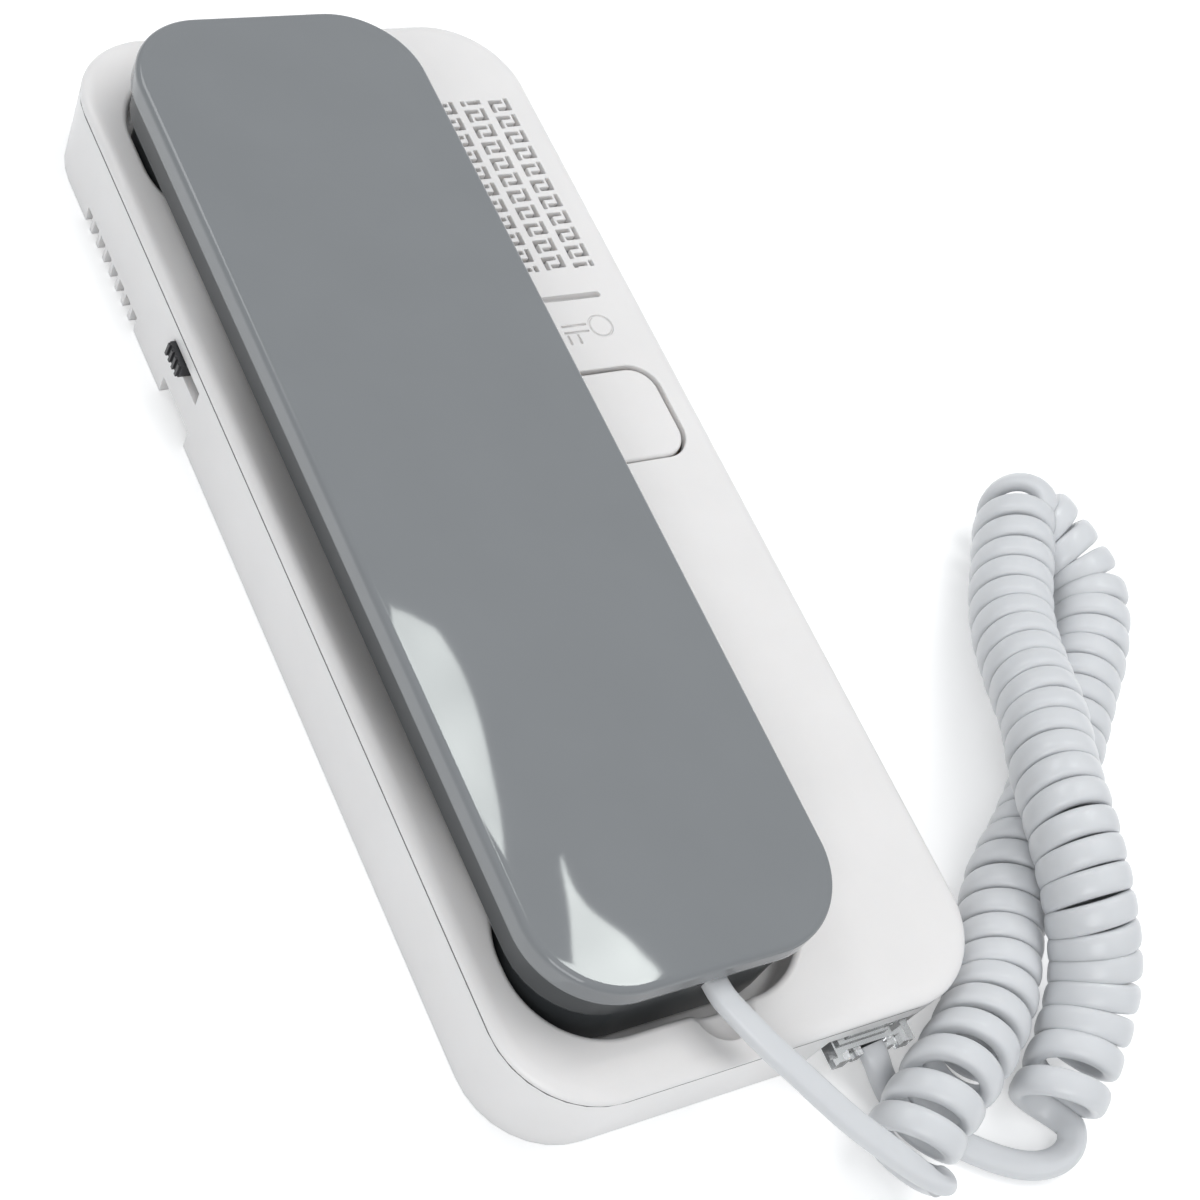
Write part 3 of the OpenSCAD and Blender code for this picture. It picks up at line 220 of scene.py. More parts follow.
def lead_rings(route, end, go):
    """Frames along one lead, which arrives at a coil end heading along go there."""
    first = [2 * a - b for a, b in zip(route[0], route[1])]
    path = [first, *route, (*end, LEAD_TURN), (*(end + LEAD_RUN * go), LEAD_TURN)]
    rings = []
    steps = len(path) - 3
    for i in range(steps * LEAD_RINGS_PER_STEP + 1):
        u = i / LEAD_RINGS_PER_STEP
        at = curve(path, u)
        along = heading(lambda v: curve(path, v).to_3d(), u, 0, steps)
        side = along.cross(UP).normalized()
        up = side.cross(along)
        tilt = math.radians(at[3])
        rings.append((at.to_3d(), along, side * math.cos(tilt) + up * math.sin(tilt)))
    return rings


def matched(rings, flat):
    """The same frames, turned a little more and more so that the last one's flat side lies along flat."""
    go, last = rings[-1][1], rings[-1][2]
    turn = math.atan2(last.cross(flat).dot(go), last.dot(flat))
    turn -= math.pi * round(turn / math.pi)
    result = []
    for i, (at, along, side) in enumerate(rings):
        t = min(1, max(0, (i / (len(rings) - 1) - MATCH_FROM) / (1 - MATCH_FROM)))
        angle = turn * t * t * (3 - 2 * t)
        result.append((at, along, Matrix.Rotation(angle, 3, along) @ side))
    return result


def reverse(rings):
    return [(at, -go, flat) for at, go, flat in reversed(rings)]


def cord_piece(name, rings, material, width_at_start=CORD_WIDTH):
    """A tube with an oval section, and its normals from the oval itself."""
    points, normals = [], []
    previous = rings[0][2]
    for i, (at, go, flat) in enumerate(rings):
        flat = flat if flat.dot(previous) > 0 else -flat
        previous = flat
        side = flat.cross(go)
        width = width_at_start + (CORD_WIDTH - width_at_start) * i / (len(rings) - 1)
        ring = oval(at, flat, side, width, CORD_THICKNESS)
        for k in range(CORD_SIDES):
            across = ring[(k + 1) % CORD_SIDES] - ring[k - 1]
            normals.append(go.cross(across).normalized())
        points.append(ring)
    if normals[0].dot(points[0][0] - rings[0][0]) < 0:
        normals = [-n for n in normals]
    return tube(name, points, material, normals)


def path_length(rings):
    return sum((b[0] - a[0]).length for a, b in zip(rings, rings[1:])) * MM


coil = coil_rings()
start_go, end_go = coil[0][1], coil[-1][1]
coil_start = coil[0][0] - COIL_STUB * start_go
coil_end = coil[-1][0] + COIL_STUB * end_go
handset_lead = matched(lead_rings(HANDSET_LEAD, coil_start, start_go), coil[0][2])
base_lead = matched(lead_rings(BASE_LEAD, coil_end, -end_go), coil[-1][2])


# ---- materials ---------------------------------------------------------------------------------------

RAMP_PLACES = (0.3, 0.7)                    # the part of a noise that a colour ramp spreads out
CLOUD_SCALE, MOTTLE = 55, 0.02              # plastic: faint clouds of colour
GLOSS_SCALE, GRAIN_DETAIL = 160, 2
LIT_SHARE, LIT_RADIUS = 0.5, (1, 0.95, 0.9) # light that enters the plastic
METAL_SCALE, METAL_DARK = 700, 0.88         # metal: flecks of a darker shade
METAL_GLOSS_SCALE, METAL_ROUGH, METAL_SPREAD = 1500, 0.3, 0.1
METAL_GRAIN_SCALE, METAL_GRAIN = 5000, 0.000003
MIX_FACTOR, MIX_A, MIX_B, MIX_RESULT = 0, 6, 7, 2       # a Mix node's sockets for colours
SEAM_FROM, SEAM_SHADE = 15.94, 0.3          # painted shade: the rear cover's colour is darker in the line between the covers


def nodes_of(name):
    material = bpy.data.materials.new(name)
    material.use_nodes = True
    tree = material.node_tree
    return material, tree, tree.nodes["Principled BSDF"]


def noise(tree, scale, detail=3):
    place = tree.nodes.new("ShaderNodeTexCoord")
    node = tree.nodes.new("ShaderNodeTexNoise")
    node.inputs["Scale"].default_value = scale
    node.inputs["Detail"].default_value = detail
    tree.links.new(place.outputs["Object"], node.inputs["Vector"])
    return node.outputs["Fac"]


def ramp(tree, value, colours):
    node = tree.nodes.new("ShaderNodeValToRGB")
    for element, place, colour in zip(node.color_ramp.elements, RAMP_PLACES, colours):
        element.position = place
        element.color = (*colour, 1)
    tree.links.new(value, node.inputs["Fac"])
    return node.outputs["Color"]


def span(tree, value, low, high):
    node = tree.nodes.new("ShaderNodeMapRange")
    node.inputs["To Min"].default_value, node.inputs["To Max"].default_value = low, high
    tree.links.new(value, node.inputs["Value"])
    return node.outputs["Result"]


def bump(tree, shader, value, distance):
    node = tree.nodes.new("ShaderNodeBump")
    node.inputs["Distance"].default_value = distance
    tree.links.new(value, node.inputs["Height"])
    tree.links.new(node.outputs["Normal"], shader.inputs["Normal"])


def calculated(tree, operation, first, second):
    """A math node on a socket and either another socket or a number."""
    node = tree.nodes.new("ShaderNodeMath")
    node.operation = operation
    tree.links.new(first, node.inputs[0])
    if isinstance(second, float):
        node.inputs[1].default_value = second
    else:
        tree.links.new(second, node.inputs[1])
    return node.outputs["Value"]


def shaded(colour, factor):
    return tuple(c * factor for c in colour)


def plastic(name, colour, rough, grain=0.000004, grain_scale=2500, spread=0.06, depth=0):
    """Moulded plastic: a faint mottle, uneven gloss and a fine spark texture; depth lets light in."""
    material, tree, shader = nodes_of(name)
    shades = shaded(colour, 1 - MOTTLE), shaded(colour, 1 + MOTTLE)
    tree.links.new(ramp(tree, noise(tree, CLOUD_SCALE), shades), shader.inputs["Base Color"])
    gloss = span(tree, noise(tree, GLOSS_SCALE), rough - spread / 2, rough + spread / 2)
    tree.links.new(gloss, shader.inputs["Roughness"])
    bump(tree, shader, noise(tree, grain_scale, GRAIN_DETAIL), grain)
    if depth:
        shader.inputs["Subsurface Weight"].default_value = LIT_SHARE
        shader.inputs["Subsurface Radius"].default_value = LIT_RADIUS
        shader.inputs["Subsurface Scale"].default_value = depth
    return material


def painted_shade_above(material, height, factor):
    """Painted shade in a seam: the colour is darker above a height of the object."""
    tree = material.node_tree
    shader = tree.nodes["Principled BSDF"]
    plain = shader.inputs["Base Color"].links[0].from_socket
    place, split = tree.nodes.new("ShaderNodeTexCoord"), tree.nodes.new("ShaderNodeSeparateXYZ")
    tree.links.new(place.outputs["Object"], split.inputs["Vector"])
    mix = tree.nodes.new("ShaderNodeMix")
    mix.data_type, mix.blend_type = "RGBA", "MULTIPLY"
    high = calculated(tree, "GREATER_THAN", split.outputs["Z"], height * MM)
    tree.links.new(high, mix.inputs[MIX_FACTOR])
    tree.links.new(plain, mix.inputs[MIX_A])
    mix.inputs[MIX_B].default_value = (factor, factor, factor, 1)
    tree.links.new(mix.outputs[MIX_RESULT], shader.inputs["Base Color"])


def metal_like(name, colour):
    """Plated metal: fine flecks of a darker shade and uneven gloss."""
    material, tree, shader = nodes_of(name)
    shader.inputs["Metallic"].default_value = 1
    shades = shaded(colour, METAL_DARK), colour
    tree.links.new(ramp(tree, noise(tree, METAL_SCALE), shades), shader.inputs["Base Color"])
    gloss = span(tree, noise(tree, METAL_GLOSS_SCALE), METAL_ROUGH - METAL_SPREAD, METAL_ROUGH + METAL_SPREAD)
    tree.links.new(gloss, shader.inputs["Roughness"])
    bump(tree, shader, noise(tree, METAL_GRAIN_SCALE), METAL_GRAIN)
    return material


WHITE = plastic("white_moulding", (0.80, 0.783, 0.776), rough=0.3, depth=0.0012)
WHITE_REAR = plastic("white_rear_moulding", (0.80, 0.786, 0.782), rough=0.3, depth=0.0012)
# painted shade in the line between the covers, where the deep gap lies in shadow
painted_shade_above(WHITE_REAR, SEAM_FROM, SEAM_SHADE)
GREY = plastic("grey_gloss", (0.212, 0.222, 0.231), rough=0.03, grain=0.0000002, spread=0.015)
# painted shade: the handset's inner half is the outer half's grey, darkened for the shadow it lies in under
# the outer half
GREY_PAINTED_SHADE = plastic("grey_satin_painted_shade", (0.045, 0.049, 0.052), rough=0.3)
CORD = plastic("cord_jacket", (0.67, 0.68, 0.697), rough=0.3, grain=0.000002, depth=0.001)
BLACK = plastic("black_moulding", (0.03, 0.03, 0.033), rough=0.42)
CLEAR = plastic("clear_moulding", (0.95, 0.97, 0.98), rough=0.06, grain=0.000001)
clear_shader = CLEAR.node_tree.nodes["Principled BSDF"]
clear_shader.inputs["Transmission Weight"].default_value = 0.92
clear_shader.inputs["IOR"].default_value = 1.45
BOARD = plastic("board_green", (0.03, 0.12, 0.06), rough=0.35)
RUBBER = plastic("rubber_black", (0.03, 0.03, 0.03), rough=0.8)
STEEL = metal_like("plated_steel", (0.62, 0.62, 0.6))
BRASS = metal_like("gold_plate", (0.8, 0.6, 0.25))
PAPER = plastic("speaker_cone", (0.5, 0.49, 0.46), rough=0.9, grain=0.00003, grain_scale=1200)

NODE_MATERIALS = {
    WHITE_REAR: ("rear_cover",),
    WHITE: ("front_cover", "door_button", "door_switch_plunger", "speaker_retainer",
            "board_connectors", "terminal_block"),
    GREY: ("handset_outer_shell", "hook_lever"),
    GREY_PAINTED_SHADE: ("handset_inner_shell",),
    BLACK: ("volume_knob", "door_switch", "base_jack", "board_components", "hook_switch", "microphone",
            "volume_switch"),
    CLEAR: ("modular_plug",),
    BOARD: ("circuit_board",),
    RUBBER: ("earpiece_gasket", "speaker_gasket", "microphone_boot", "cord_anchor"),
    STEEL: ("board_screws", "handset_screws", "hook_pin", "hook_spring", "board_capacitors",
            "terminal_screws"),
    BRASS: ("jack_contacts",),
    PAPER: ("call_speaker", "earpiece"),
    CORD: ("jack_wires", "speaker_wires", "handset_wires"),
}
for material, names in NODE_MATERIALS.items():
    for name in names:
        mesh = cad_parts[name].data
        mesh.materials.clear()
        mesh.materials.append(material)


# ---- smooth shells -----------------------------------------------------------------------------------

SAME = 1e-6             # normals closer than this point one way
WELD_FLAT = 1e-7        # points of a sheet closer than this are one
PROBE = 0.05            # half the span over which a slope is measured
BESIDE = 0.3            # how far the extra points beside an inner corner lie from it
CORNER_SHARE = 0.45     # the share of a side that a corner's arc may take


def rounded_box(x0, x1, y0, y1, r, arc, step=5.0):
    """(point, outward normal) pairs counter-clockwise round a rounded rectangle."""
    corners = []
    centres = ((x1 - r, y1 - r, 0), (x0 + r, y1 - r, 90), (x0 + r, y0 + r, 180), (x1 - r, y0 + r, 270))
    for cx, cy, start in centres:
        for k in range(arc + 1):
            a = math.radians(start + 90 * k / arc)
            n = Vector((math.cos(a), math.sin(a)))
            corners.append((Vector((cx, cy)) + r * n, n))
    outline = []
    for (p, n), (q, m) in zip(corners, corners[1:] + corners[:1]):
        outline.append((p, n))
        spans = math.ceil((q - p).length / step) if (n - m).length < SAME else 1
        outline += [(p.lerp(q, k / spans), n) for k in range(1, spans)]
    return outline


def round_hole(x, y, r, count):
    angles = [2 * math.pi * k / count for k in range(count)]
    ring = [Vector((math.cos(a), math.sin(a))) for a in angles]
    return [(Vector((x, y)) + r * n, n) for n in ring]


def cut_corners(points, r):
    """(point, outward normal) pairs round a right-angled polygon: convex corners get a small arc."""
    outline = []
    for i, p in enumerate(points):
        before, after = p - points[i - 1], points[(i + 1) % len(points)] - p
        into, out = before.normalized(), after.normalized()
        a, b = Vector((into.y, -into.x)), Vector((out.y, -out.x))
        if into.cross(out) > 0:
            small = min(r, CORNER_SHARE * before.length, CORNER_SHARE * after.length)
            for k in range(3):
                n = a.lerp(b, k / 2).normalized()
                outline.append((p - (a + b) * small + n * small, n))
        else:
            if before.length > 2 * BESIDE:
                outline.append((p - into * BESIDE, a))
            outline.append((p, a + b))
            if after.length > 2 * BESIDE:
                outline.append((p + out * BESIDE, b))
    return outline


def above(points, axis, level, sign):
    """The part of a polygon on one side of a line across an axis."""
    kept = []
    for p, q in zip(points, points[1:] + points[:1]):
        dp, dq = sign * (p[axis] - level), sign * (q[axis] - level)
        if dp >= 0:
            kept.append(p)
        if (dp >= 0) != (dq >= 0):
            kept.append(p.lerp(q, dp / (dp - dq)))
    return kept


def rim(radius, steps):
    """A quarter round from the wall of a hole to the face: (offset, height, wall share, up share)."""
    rows = []
    for k in range(steps + 1):
        a = math.radians(90 * k / steps)
        rows.append((radius * (1 - math.cos(a)), -radius * (1 - math.sin(a)), math.cos(a), math.sin(a)))
    return rows


def crown(insets, edge, reach, top, drop, lean):
    """Rows of a slightly crowned top, from its edge inwards: (inset, height, wall share, up share)."""
    rows = []
    for inset in insets:
        fall = 1 - min(1, (inset - edge) / reach)
        rows.append((inset, top - drop * fall ** 2, lean * fall, 1))
    return rows


def grown(box, by):
    return box[0] - by, box[1] + by, box[2] - by, box[3] + by


def within(box, x, y):
    return box[0] < x < box[1] and box[2] < y < box[3]


def inside(ring, box, x, y):
    """Whether a point lies inside a ring with the given box."""
    if not within(box, x, y):
        return False
    odd = False
    for (ax, ay), (bx, by) in zip(ring, ring[1:] + ring[:1]):
        if (ay > y) != (by > y) and x < (bx - ax) * (y - ay) / (by - ay) + ax:
            odd = not odd
    return odd


class Shell:
    """Rings of points joined into one closed mesh, with a normal at every point."""

    def __init__(self):
        self.points, self.normals, self.faces = [], [], []

    def add(self, point, normal):
        self.points.append(point)
        self.normals.append(normal.normalized())
        return len(self.points) - 1

    def ring(self, outline, offset, z, wall, up, height=None):
        """One ring, offset outwards; wall and up weigh the two parts of its normal."""
        ids = []
        for p, n in outline:
            q = p + n * offset
            slope = (0, 0)
            level = z
            if height is not None:
                level = height(q.x, q.y) + z
                slope = ((height(q.x + PROBE, q.y) - height(q.x - PROBE, q.y)) / (2 * PROBE),
                         (height(q.x, q.y + PROBE) - height(q.x, q.y - PROBE)) / (2 * PROBE))
            ids.append(self.add(Vector((q.x, q.y, level)),
                                Vector((n.x * wall - slope[0] * up, n.y * wall - slope[1] * up, up))))
        return ids

    def join(self, low, high):
        """Quads between two rings; seen from outside, low runs counter-clockwise under high."""
        for k in range(len(low)):
            m = (k + 1) % len(low)
            self.faces.append((low[k], low[m], high[m], high[k]))

    def join_all(self, rings, hole=False):
        """Quads between each ring and the next; the rings of a hole are seen from within it."""
        for low, high in zip(rings, rings[1:]):
            if hole:
                low, high = low[::-1], high[::-1]
            self.join(low, high)

    def loft(self, outline, rows):
        """A closed body through rings at (inset, height, wall share, up share)."""
        rings = [self.ring(outline, -inset, z, wall, up) for inset, z, wall, up in rows]
        self.join_all(rings)
        self.cap(rings[0], up=False)
        self.cap(rings[-1])

    def cap(self, ids, up=True):
        self.faces.append(tuple(ids if up else reversed(ids)))

    def sheet(self, outer, holes, inner, up=True):
        """A face with holes between rings, through some points inside."""
        loops = [outer] + holes
        ids = [i for loop in loops for i in loop] + inner
        edges, start = [], 0
        for loop in loops:
            edges += [(start + k, start + (k + 1) % len(loop)) for k in range(len(loop))]
            start += len(loop)
        flat = [Vector((self.points[i][0], self.points[i][1])) for i in ids]
        places, _, triangles, origins = delaunay_2d_cdt(flat, edges, [], 0, WELD_FLAT, True)[:4]
        rings = [[(self.points[i][0], self.points[i][1]) for i in loop] for loop in loops]
        boxes = [(min(p[0] for p in r), max(p[0] for p in r), min(p[1] for p in r), max(p[1] for p in r))
                 for r in rings]
        for face in triangles:
            x = sum(places[v][0] for v in face) / 3
            y = sum(places[v][1] for v in face) / 3
            in_hole = any(inside(r, b, x, y) for r, b in zip(rings[1:], boxes[1:]))
            if in_hole or not inside(rings[0], boxes[0], x, y):
                continue
            corner = [ids[origins[v][0]] for v in face]
            self.faces.append(tuple(corner if up else reversed(corner)))

    def make(self, name, material):
        return new_object(name, self.points, self.faces, material, self.normals)


# ---- front cover -------------------------------------------------------------------------------------

PARTING, FACE = 16.3, 17.5
SKIN = 2                              # thickness of the cover
BASE_BOX, BASE_CORNER = (-42.25, 42.25, -100, 100), 15.5
SCOOP_X, SCOOP_Y, SCOOP_DEPTH, SCOOP_HALF, SCOOP_REACH = -31, -8, 4.5, 10.4, 62
SCOOP_ENDS, SCOOP_SWELL = 0.55, 0.45  # shares of its half width: at its ends, and what its middle adds
DISH = Vector((-6.1, -91.5))          # the hollow that clears the cord
DISH_RADIUS, DISH_DEPTH, DISH_SOFTNESS = 6, 2.8, 0.006
GROOVE, GROOVE_DEPTH = 0.03, 0.7      # the front cover's share of the dark line between the covers
EDGE_REACH, EDGE_RISE, EDGE_STEPS = 2.4, FACE - PARTING - GROOVE, 12
SEAT_INSET = 1.75
POCKETS, POCKET_CORNER = ((-36.3, 13.5, 58, 92.4), (-36.3, 13.5, -91, -61.5)), 14
POCKET_FLOOR, PAN_BOTTOM, POCKET_RIM = 9.6, 8.1, 1.1
PAN_FILLET, FILLET_STEPS = 1.2, 4     # round of a pocket's floor
PAN_WALL, PAN_FOOT, PAN_CHAMFER = 1.5, 1.1, 0.4
BUTTON_HOLE, BUTTON_HOLE_CORNER = (16.25, 37.55, 1.45, 20.75), 5.35
HOOK_SLOT, HOOK_SLOT_CORNER = (-16.5, -8.5, 13.5, 21.7), 0.6
HOLE_RIM = 0.25
HOLE_STEPS, POCKET_STEPS, KEY_STEPS = 3, 7, 2         # steps of a hole's rounded rim
LINE_BOX, LINE_CORNER, LINE_RIM, LINE_DEPTH = (19, 35.1, 35.45, 36.65), 0.58, 0.14, 1
KEY_BARS = ((24.3, 29.3, 28.475, 28.925), (24.3, 29.3, 29.875, 30.325), (24.5, 24.95, 26.2, 28.2),
            (26.5, 26.95, 26.2, 28.2))
KEY_CORNER, KEY_RIM, KEY_DEPTH = 0.1, 0.08, 0.3
BOW_AT, BOW_OUTER, BOW_INNER, BOW_SIDES = (32, 29.4), 2.4, 1.95, 40
SLOT_WIDTH, SLOT_ARM, SLOT_COLUMN, SLOT_ROW = 0.8, 2.8, 5.68, 3.765
SLOT_MATE = Vector((4.1, -2.5))
SLOT_CORNER, SLOT_RIM, SLOT_LEAST = 0.15, 0.2, 0.35
GRILLE_RIGHT, GRILLE_TOP, GRILLE_LOW = 37, 81.1, 42.15
GRILLE_COLUMNS, GRILLE_ROWS, GRILLE_DROP = range(4), range(-1, 11), 0.3
# points inside the face where it is curved: a grid over the scoop, and rings in the dish
SPOT_START, SPOT_STEP, SPOT_COUNT, SPOT_LIMIT = (-39.3, -73), (1.45, 3.6), (15, 36), 39.6
DISH_RINGS, DISH_SPOTS = (1.5, 3, 4, 4.6, 4.9, 5.2, 5.6), 40
POCKET_CLEAR, HOOK_CLEAR = 0.4, 0.7


def face_height(x, y):
    """The face, with the finger scoop along the handset and the hollow at the cord."""
    z = FACE
    run = 1 - ((y - SCOOP_Y) / SCOOP_REACH) ** 2
    if run > 0:
        half = SCOOP_HALF * (SCOOP_ENDS + SCOOP_SWELL * math.sqrt(run))
        across = 1 - ((x - SCOOP_X) / half) ** 2
        if across > 0:
            z -= SCOOP_DEPTH * run ** 1.5 * across ** 2
    r = (Vector((x, y)) - DISH).length
    if r < DISH_RADIUS:
        drop = DISH_DEPTH - DISH_RADIUS + math.sqrt(DISH_RADIUS ** 2 - r * r)
        z -= (drop + math.sqrt(drop * drop + DISH_SOFTNESS)) / 2
    return z


def grille_outlines():
    """Columns of angle slots in two senses that interlock, trimmed by a window."""
    w, a = SLOT_WIDTH, SLOT_ARM
    angle = [Vector(p) for p in ((0, 0), (0, -a), (w, -a), (w, -w), (a, -w), (a, 0))]
    outlines = []
    for c in GRILLE_COLUMNS:
        for r in GRILLE_ROWS:
            corner = Vector((GRILLE_RIGHT - SLOT_MATE.x - c * SLOT_COLUMN,
                             GRILLE_TOP - GRILLE_DROP - r * SLOT_ROW - (c % 2) * SLOT_ROW / 2))
            for at, side in ((corner, 1), (corner + SLOT_MATE, -1)):
                shape = above([at + p * side for p in angle], 1, GRILLE_TOP, -1)
                shape = above(shape, 1, GRILLE_LOW, 1)
                if shape and max(p.y for p in shape) - min(p.y for p in shape) > SLOT_LEAST:
                    outlines.append(cut_corners(shape, SLOT_CORNER))
    return outlines


def bar(x0, x1, y0, y1):
    corners = [Vector(p) for p in ((x0, y0), (x1, y0), (x1, y1), (x0, y1))]
    return cut_corners(corners, KEY_CORNER)


def face_spots():
    """The points inside the face where it is curved, clear of the pockets and the hook's slot."""
    spots = [(SPOT_START[0] + SPOT_STEP[0] * i, SPOT_START[1] + SPOT_STEP[1] * j)
             for i in range(SPOT_COUNT[0]) for j in range(SPOT_COUNT[1])]
    for r in DISH_RINGS:
        for k in range(DISH_SPOTS):
            a = math.radians(360 * k / DISH_SPOTS)
            spots.append((DISH.x + r * math.cos(a), DISH.y + r * math.sin(a)))
    blocked = [grown(box, POCKET_RIM + POCKET_CLEAR) for box in POCKETS] + [grown(HOOK_SLOT, HOOK_CLEAR)]
    return [s for s in spots if abs(s[0]) < SPOT_LIMIT and not any(within(box, *s) for box in blocked)]


def make_front_cover():
    shell = Shell()
    tops, bottoms = [], []

    def add_hole(outline, round_by, steps, floor=None, pan=False):
        """Rim, wall and floor or underside of one hole; the face and the underside join its outer rings."""
        rows = rim(round_by, steps)
        rings = [shell.ring(outline, o, z, -wall, up, face_height) for o, z, wall, up in rows]
        shell.join_all(rings, hole=True)
        tops.append(rings[-1])
        if floor is None:
            under = shell.ring(outline, 0, -SKIN, -1, 0, face_height)
            last = shell.ring(outline, round_by, -SKIN, 0, -1, face_height)
            shell.join(under[::-1], rings[0][::-1])
            shell.join(last[::-1], under[::-1])
            bottoms.append(last)
            return
        low = rings[0]
        if pan:
            for k in range(FILLET_STEPS + 1):
                a = math.radians(90 * k / FILLET_STEPS)
                ring = shell.ring(outline, -PAN_FILLET * (1 - math.cos(a)),
                                  floor + PAN_FILLET * (1 - math.sin(a)), -math.cos(a), math.sin(a))
                shell.join(ring[::-1], low[::-1])
                low = ring
        else:
            base = shell.ring(outline, 0, -floor, -1, 0.3, face_height)
            shell.join(base[::-1], low[::-1])
            low = base
        shell.cap(low)
        if pan:
            side = shell.ring(outline, PAN_WALL, -SKIN, 1, -0.5, face_height)
            foot = shell.ring(outline, PAN_WALL, PAN_BOTTOM + PAN_CHAMFER, 1, 0)
            under = shell.ring(outline, PAN_FOOT, PAN_BOTTOM, 0, -1)
            shell.join(foot, side)
            shell.join(under, foot)
            shell.cap(under, up=False)
            bottoms.append(side)
        else:
            last = shell.ring(outline, round_by, -SKIN, 0, -1, face_height)
            shell.cap(last, up=False)
            bottoms.append(last)

    for box in POCKETS:
        add_hole(rounded_box(*box, POCKET_CORNER, arc=20, step=1.2), POCKET_RIM, POCKET_STEPS, POCKET_FLOOR,
                 pan=True)
    add_hole(rounded_box(*BUTTON_HOLE, BUTTON_HOLE_CORNER, arc=12), HOLE_RIM, HOLE_STEPS)
    add_hole(rounded_box(*HOOK_SLOT, HOOK_SLOT_CORNER, arc=4), HOLE_RIM, HOLE_STEPS)
    add_hole(rounded_box(*LINE_BOX, LINE_CORNER, arc=6), LINE_RIM, HOLE_STEPS, LINE_DEPTH)
    for outline in grille_outlines():
        add_hole(outline, SLOT_RIM, HOLE_STEPS)
    for box in KEY_BARS:
        add_hole(bar(*box), KEY_RIM, KEY_STEPS, KEY_DEPTH)

    # the key's bow: a ring-shaped groove round an island of face
    outer, island = round_hole(*BOW_AT, BOW_OUTER, BOW_SIDES), round_hole(*BOW_AT, BOW_INNER, BOW_SIDES)
    rings = [shell.ring(outer, o, z, -wall, up, face_height) for o, z, wall, up in rim(KEY_RIM, KEY_STEPS)]
    rings.insert(0, shell.ring(outer, 0, -KEY_DEPTH, -1, 0.5, face_height))
    rings.insert(0, shell.ring(island, 0, -KEY_DEPTH, 1, 0.5, face_height))
    shell.join_all(rings, hole=True)
    tops.append(rings[-1])
    crest = [shell.ring(island, -o, z, wall, up, face_height) for o, z, wall, up in rim(KEY_RIM, KEY_STEPS)]
    shell.join(rings[0], crest[0])
    shell.join_all(crest)
    shell.cap(crest[-1])

    # rounded edge, and the seat that meets the rear cover
    edge = rounded_box(*BASE_BOX, BASE_CORNER, arc=24, step=2.5)
    foot = shell.ring(edge, -GROOVE_DEPTH, PARTING, 1, -1)
    low = shell.ring(edge, 0, PARTING + GROOVE, 1, -0.2)
    shell.join(foot, low)
    for k in range(1, EDGE_STEPS + 1):
        a = math.radians(90 * k / EDGE_STEPS)
        inset = EDGE_REACH * (1 - math.cos(a))
        share = math.sin(a) ** 2
        wall, up = math.cos(a) / EDGE_REACH, math.sin(a) / EDGE_RISE
        ring = []
        for p, n in edge:
            q = p - n * inset
            level = PARTING + GROOVE + EDGE_RISE * math.sin(a) + (face_height(q.x, q.y) - FACE) * share
            slope = (face_height(q.x + PROBE, q.y) - face_height(q.x - PROBE, q.y)) / (2 * PROBE) * share
            normal = Vector((n.x * wall - slope * up, n.y * wall, up))
            ring.append(shell.add(Vector((q.x, q.y, level)), normal))
        shell.join(low, ring)
        low = ring
    tops.insert(0, low)
    seat = shell.ring(edge, -SEAT_INSET, PARTING, 0.5, -1)
    last = shell.ring(edge, -EDGE_REACH, -SKIN, 0, -1, face_height)
    shell.join(seat, foot)
    shell.join(last, seat)

    spots = face_spots()

    def spot_ids(drop, up):
        return [shell.ring([(Vector(s), Vector((0, 0)))], 0, -drop, 0, up, face_height)[0] for s in spots]

    shell.sheet(tops[0], tops[1:], spot_ids(0, 1))
    shell.sheet(last, bottoms, spot_ids(SKIN, -1), up=False)
    return shell.make("face_shell", WHITE)


# ---- handset and button ------------------------------------------------------------------------------

HANDSET_BOX, HANDSET_CORNER = (-38.75, 13.75, -90, 91.4), 14.5
HANDSET_WALL, HANDSET_CEILING = 1.35, 29.2      # the tray inside
HANDSET_FOOT = ((HANDSET_WALL, 26.85, -1, -0.3), (0.2, 26.8, 0, -1), (0, 27, 1, -0.3), (0, 27.4, 1, 0))
HANDSET_SHOULDER, HANDSET_REACH, HANDSET_RISE, HANDSET_STEPS = 29.9, 1.15, 1.05, 8      # its soft edge
HANDSET_CROWN = dict(insets=(2, 3, 4.5, 6.5, 9, 12), edge=HANDSET_REACH, reach=10.85, top=31, drop=0.05,
                     lean=0.009)
BUTTON_BOX, BUTTON_CORNER = (16.8, 37, 2, 20.2), 4.8
BUTTON_LOW, BUTTON_SHOULDER, BUTTON_REACH, BUTTON_RISE, BUTTON_STEPS = 14, 16.6, 0.7, 0.66, 6
BUTTON_CROWN = dict(insets=(1.5, 3, 4.5), edge=BUTTON_REACH, reach=3.8, top=17.3, drop=0.04, lean=0.02)


def make_handset_shell():
    """The handset's smooth outer half: a shallow tray with a soft edge and a slightly crowned top."""
    shell = Shell()
    rows = [(HANDSET_WALL, HANDSET_CEILING, -1, -1), *HANDSET_FOOT, (0, HANDSET_SHOULDER, 1, 0)]
    for k in range(1, HANDSET_STEPS + 1):
        a = math.radians(90 * k / HANDSET_STEPS)
        rows.append((HANDSET_REACH * (1 - math.cos(a)), HANDSET_SHOULDER + HANDSET_RISE * math.sin(a),
                     math.cos(a), HANDSET_REACH * math.sin(a) / HANDSET_RISE))
    rows += crown(**HANDSET_CROWN)
    shell.loft(rounded_box(*HANDSET_BOX, HANDSET_CORNER, arc=24, step=4), rows)
    return shell.make("handset_top", GREY)


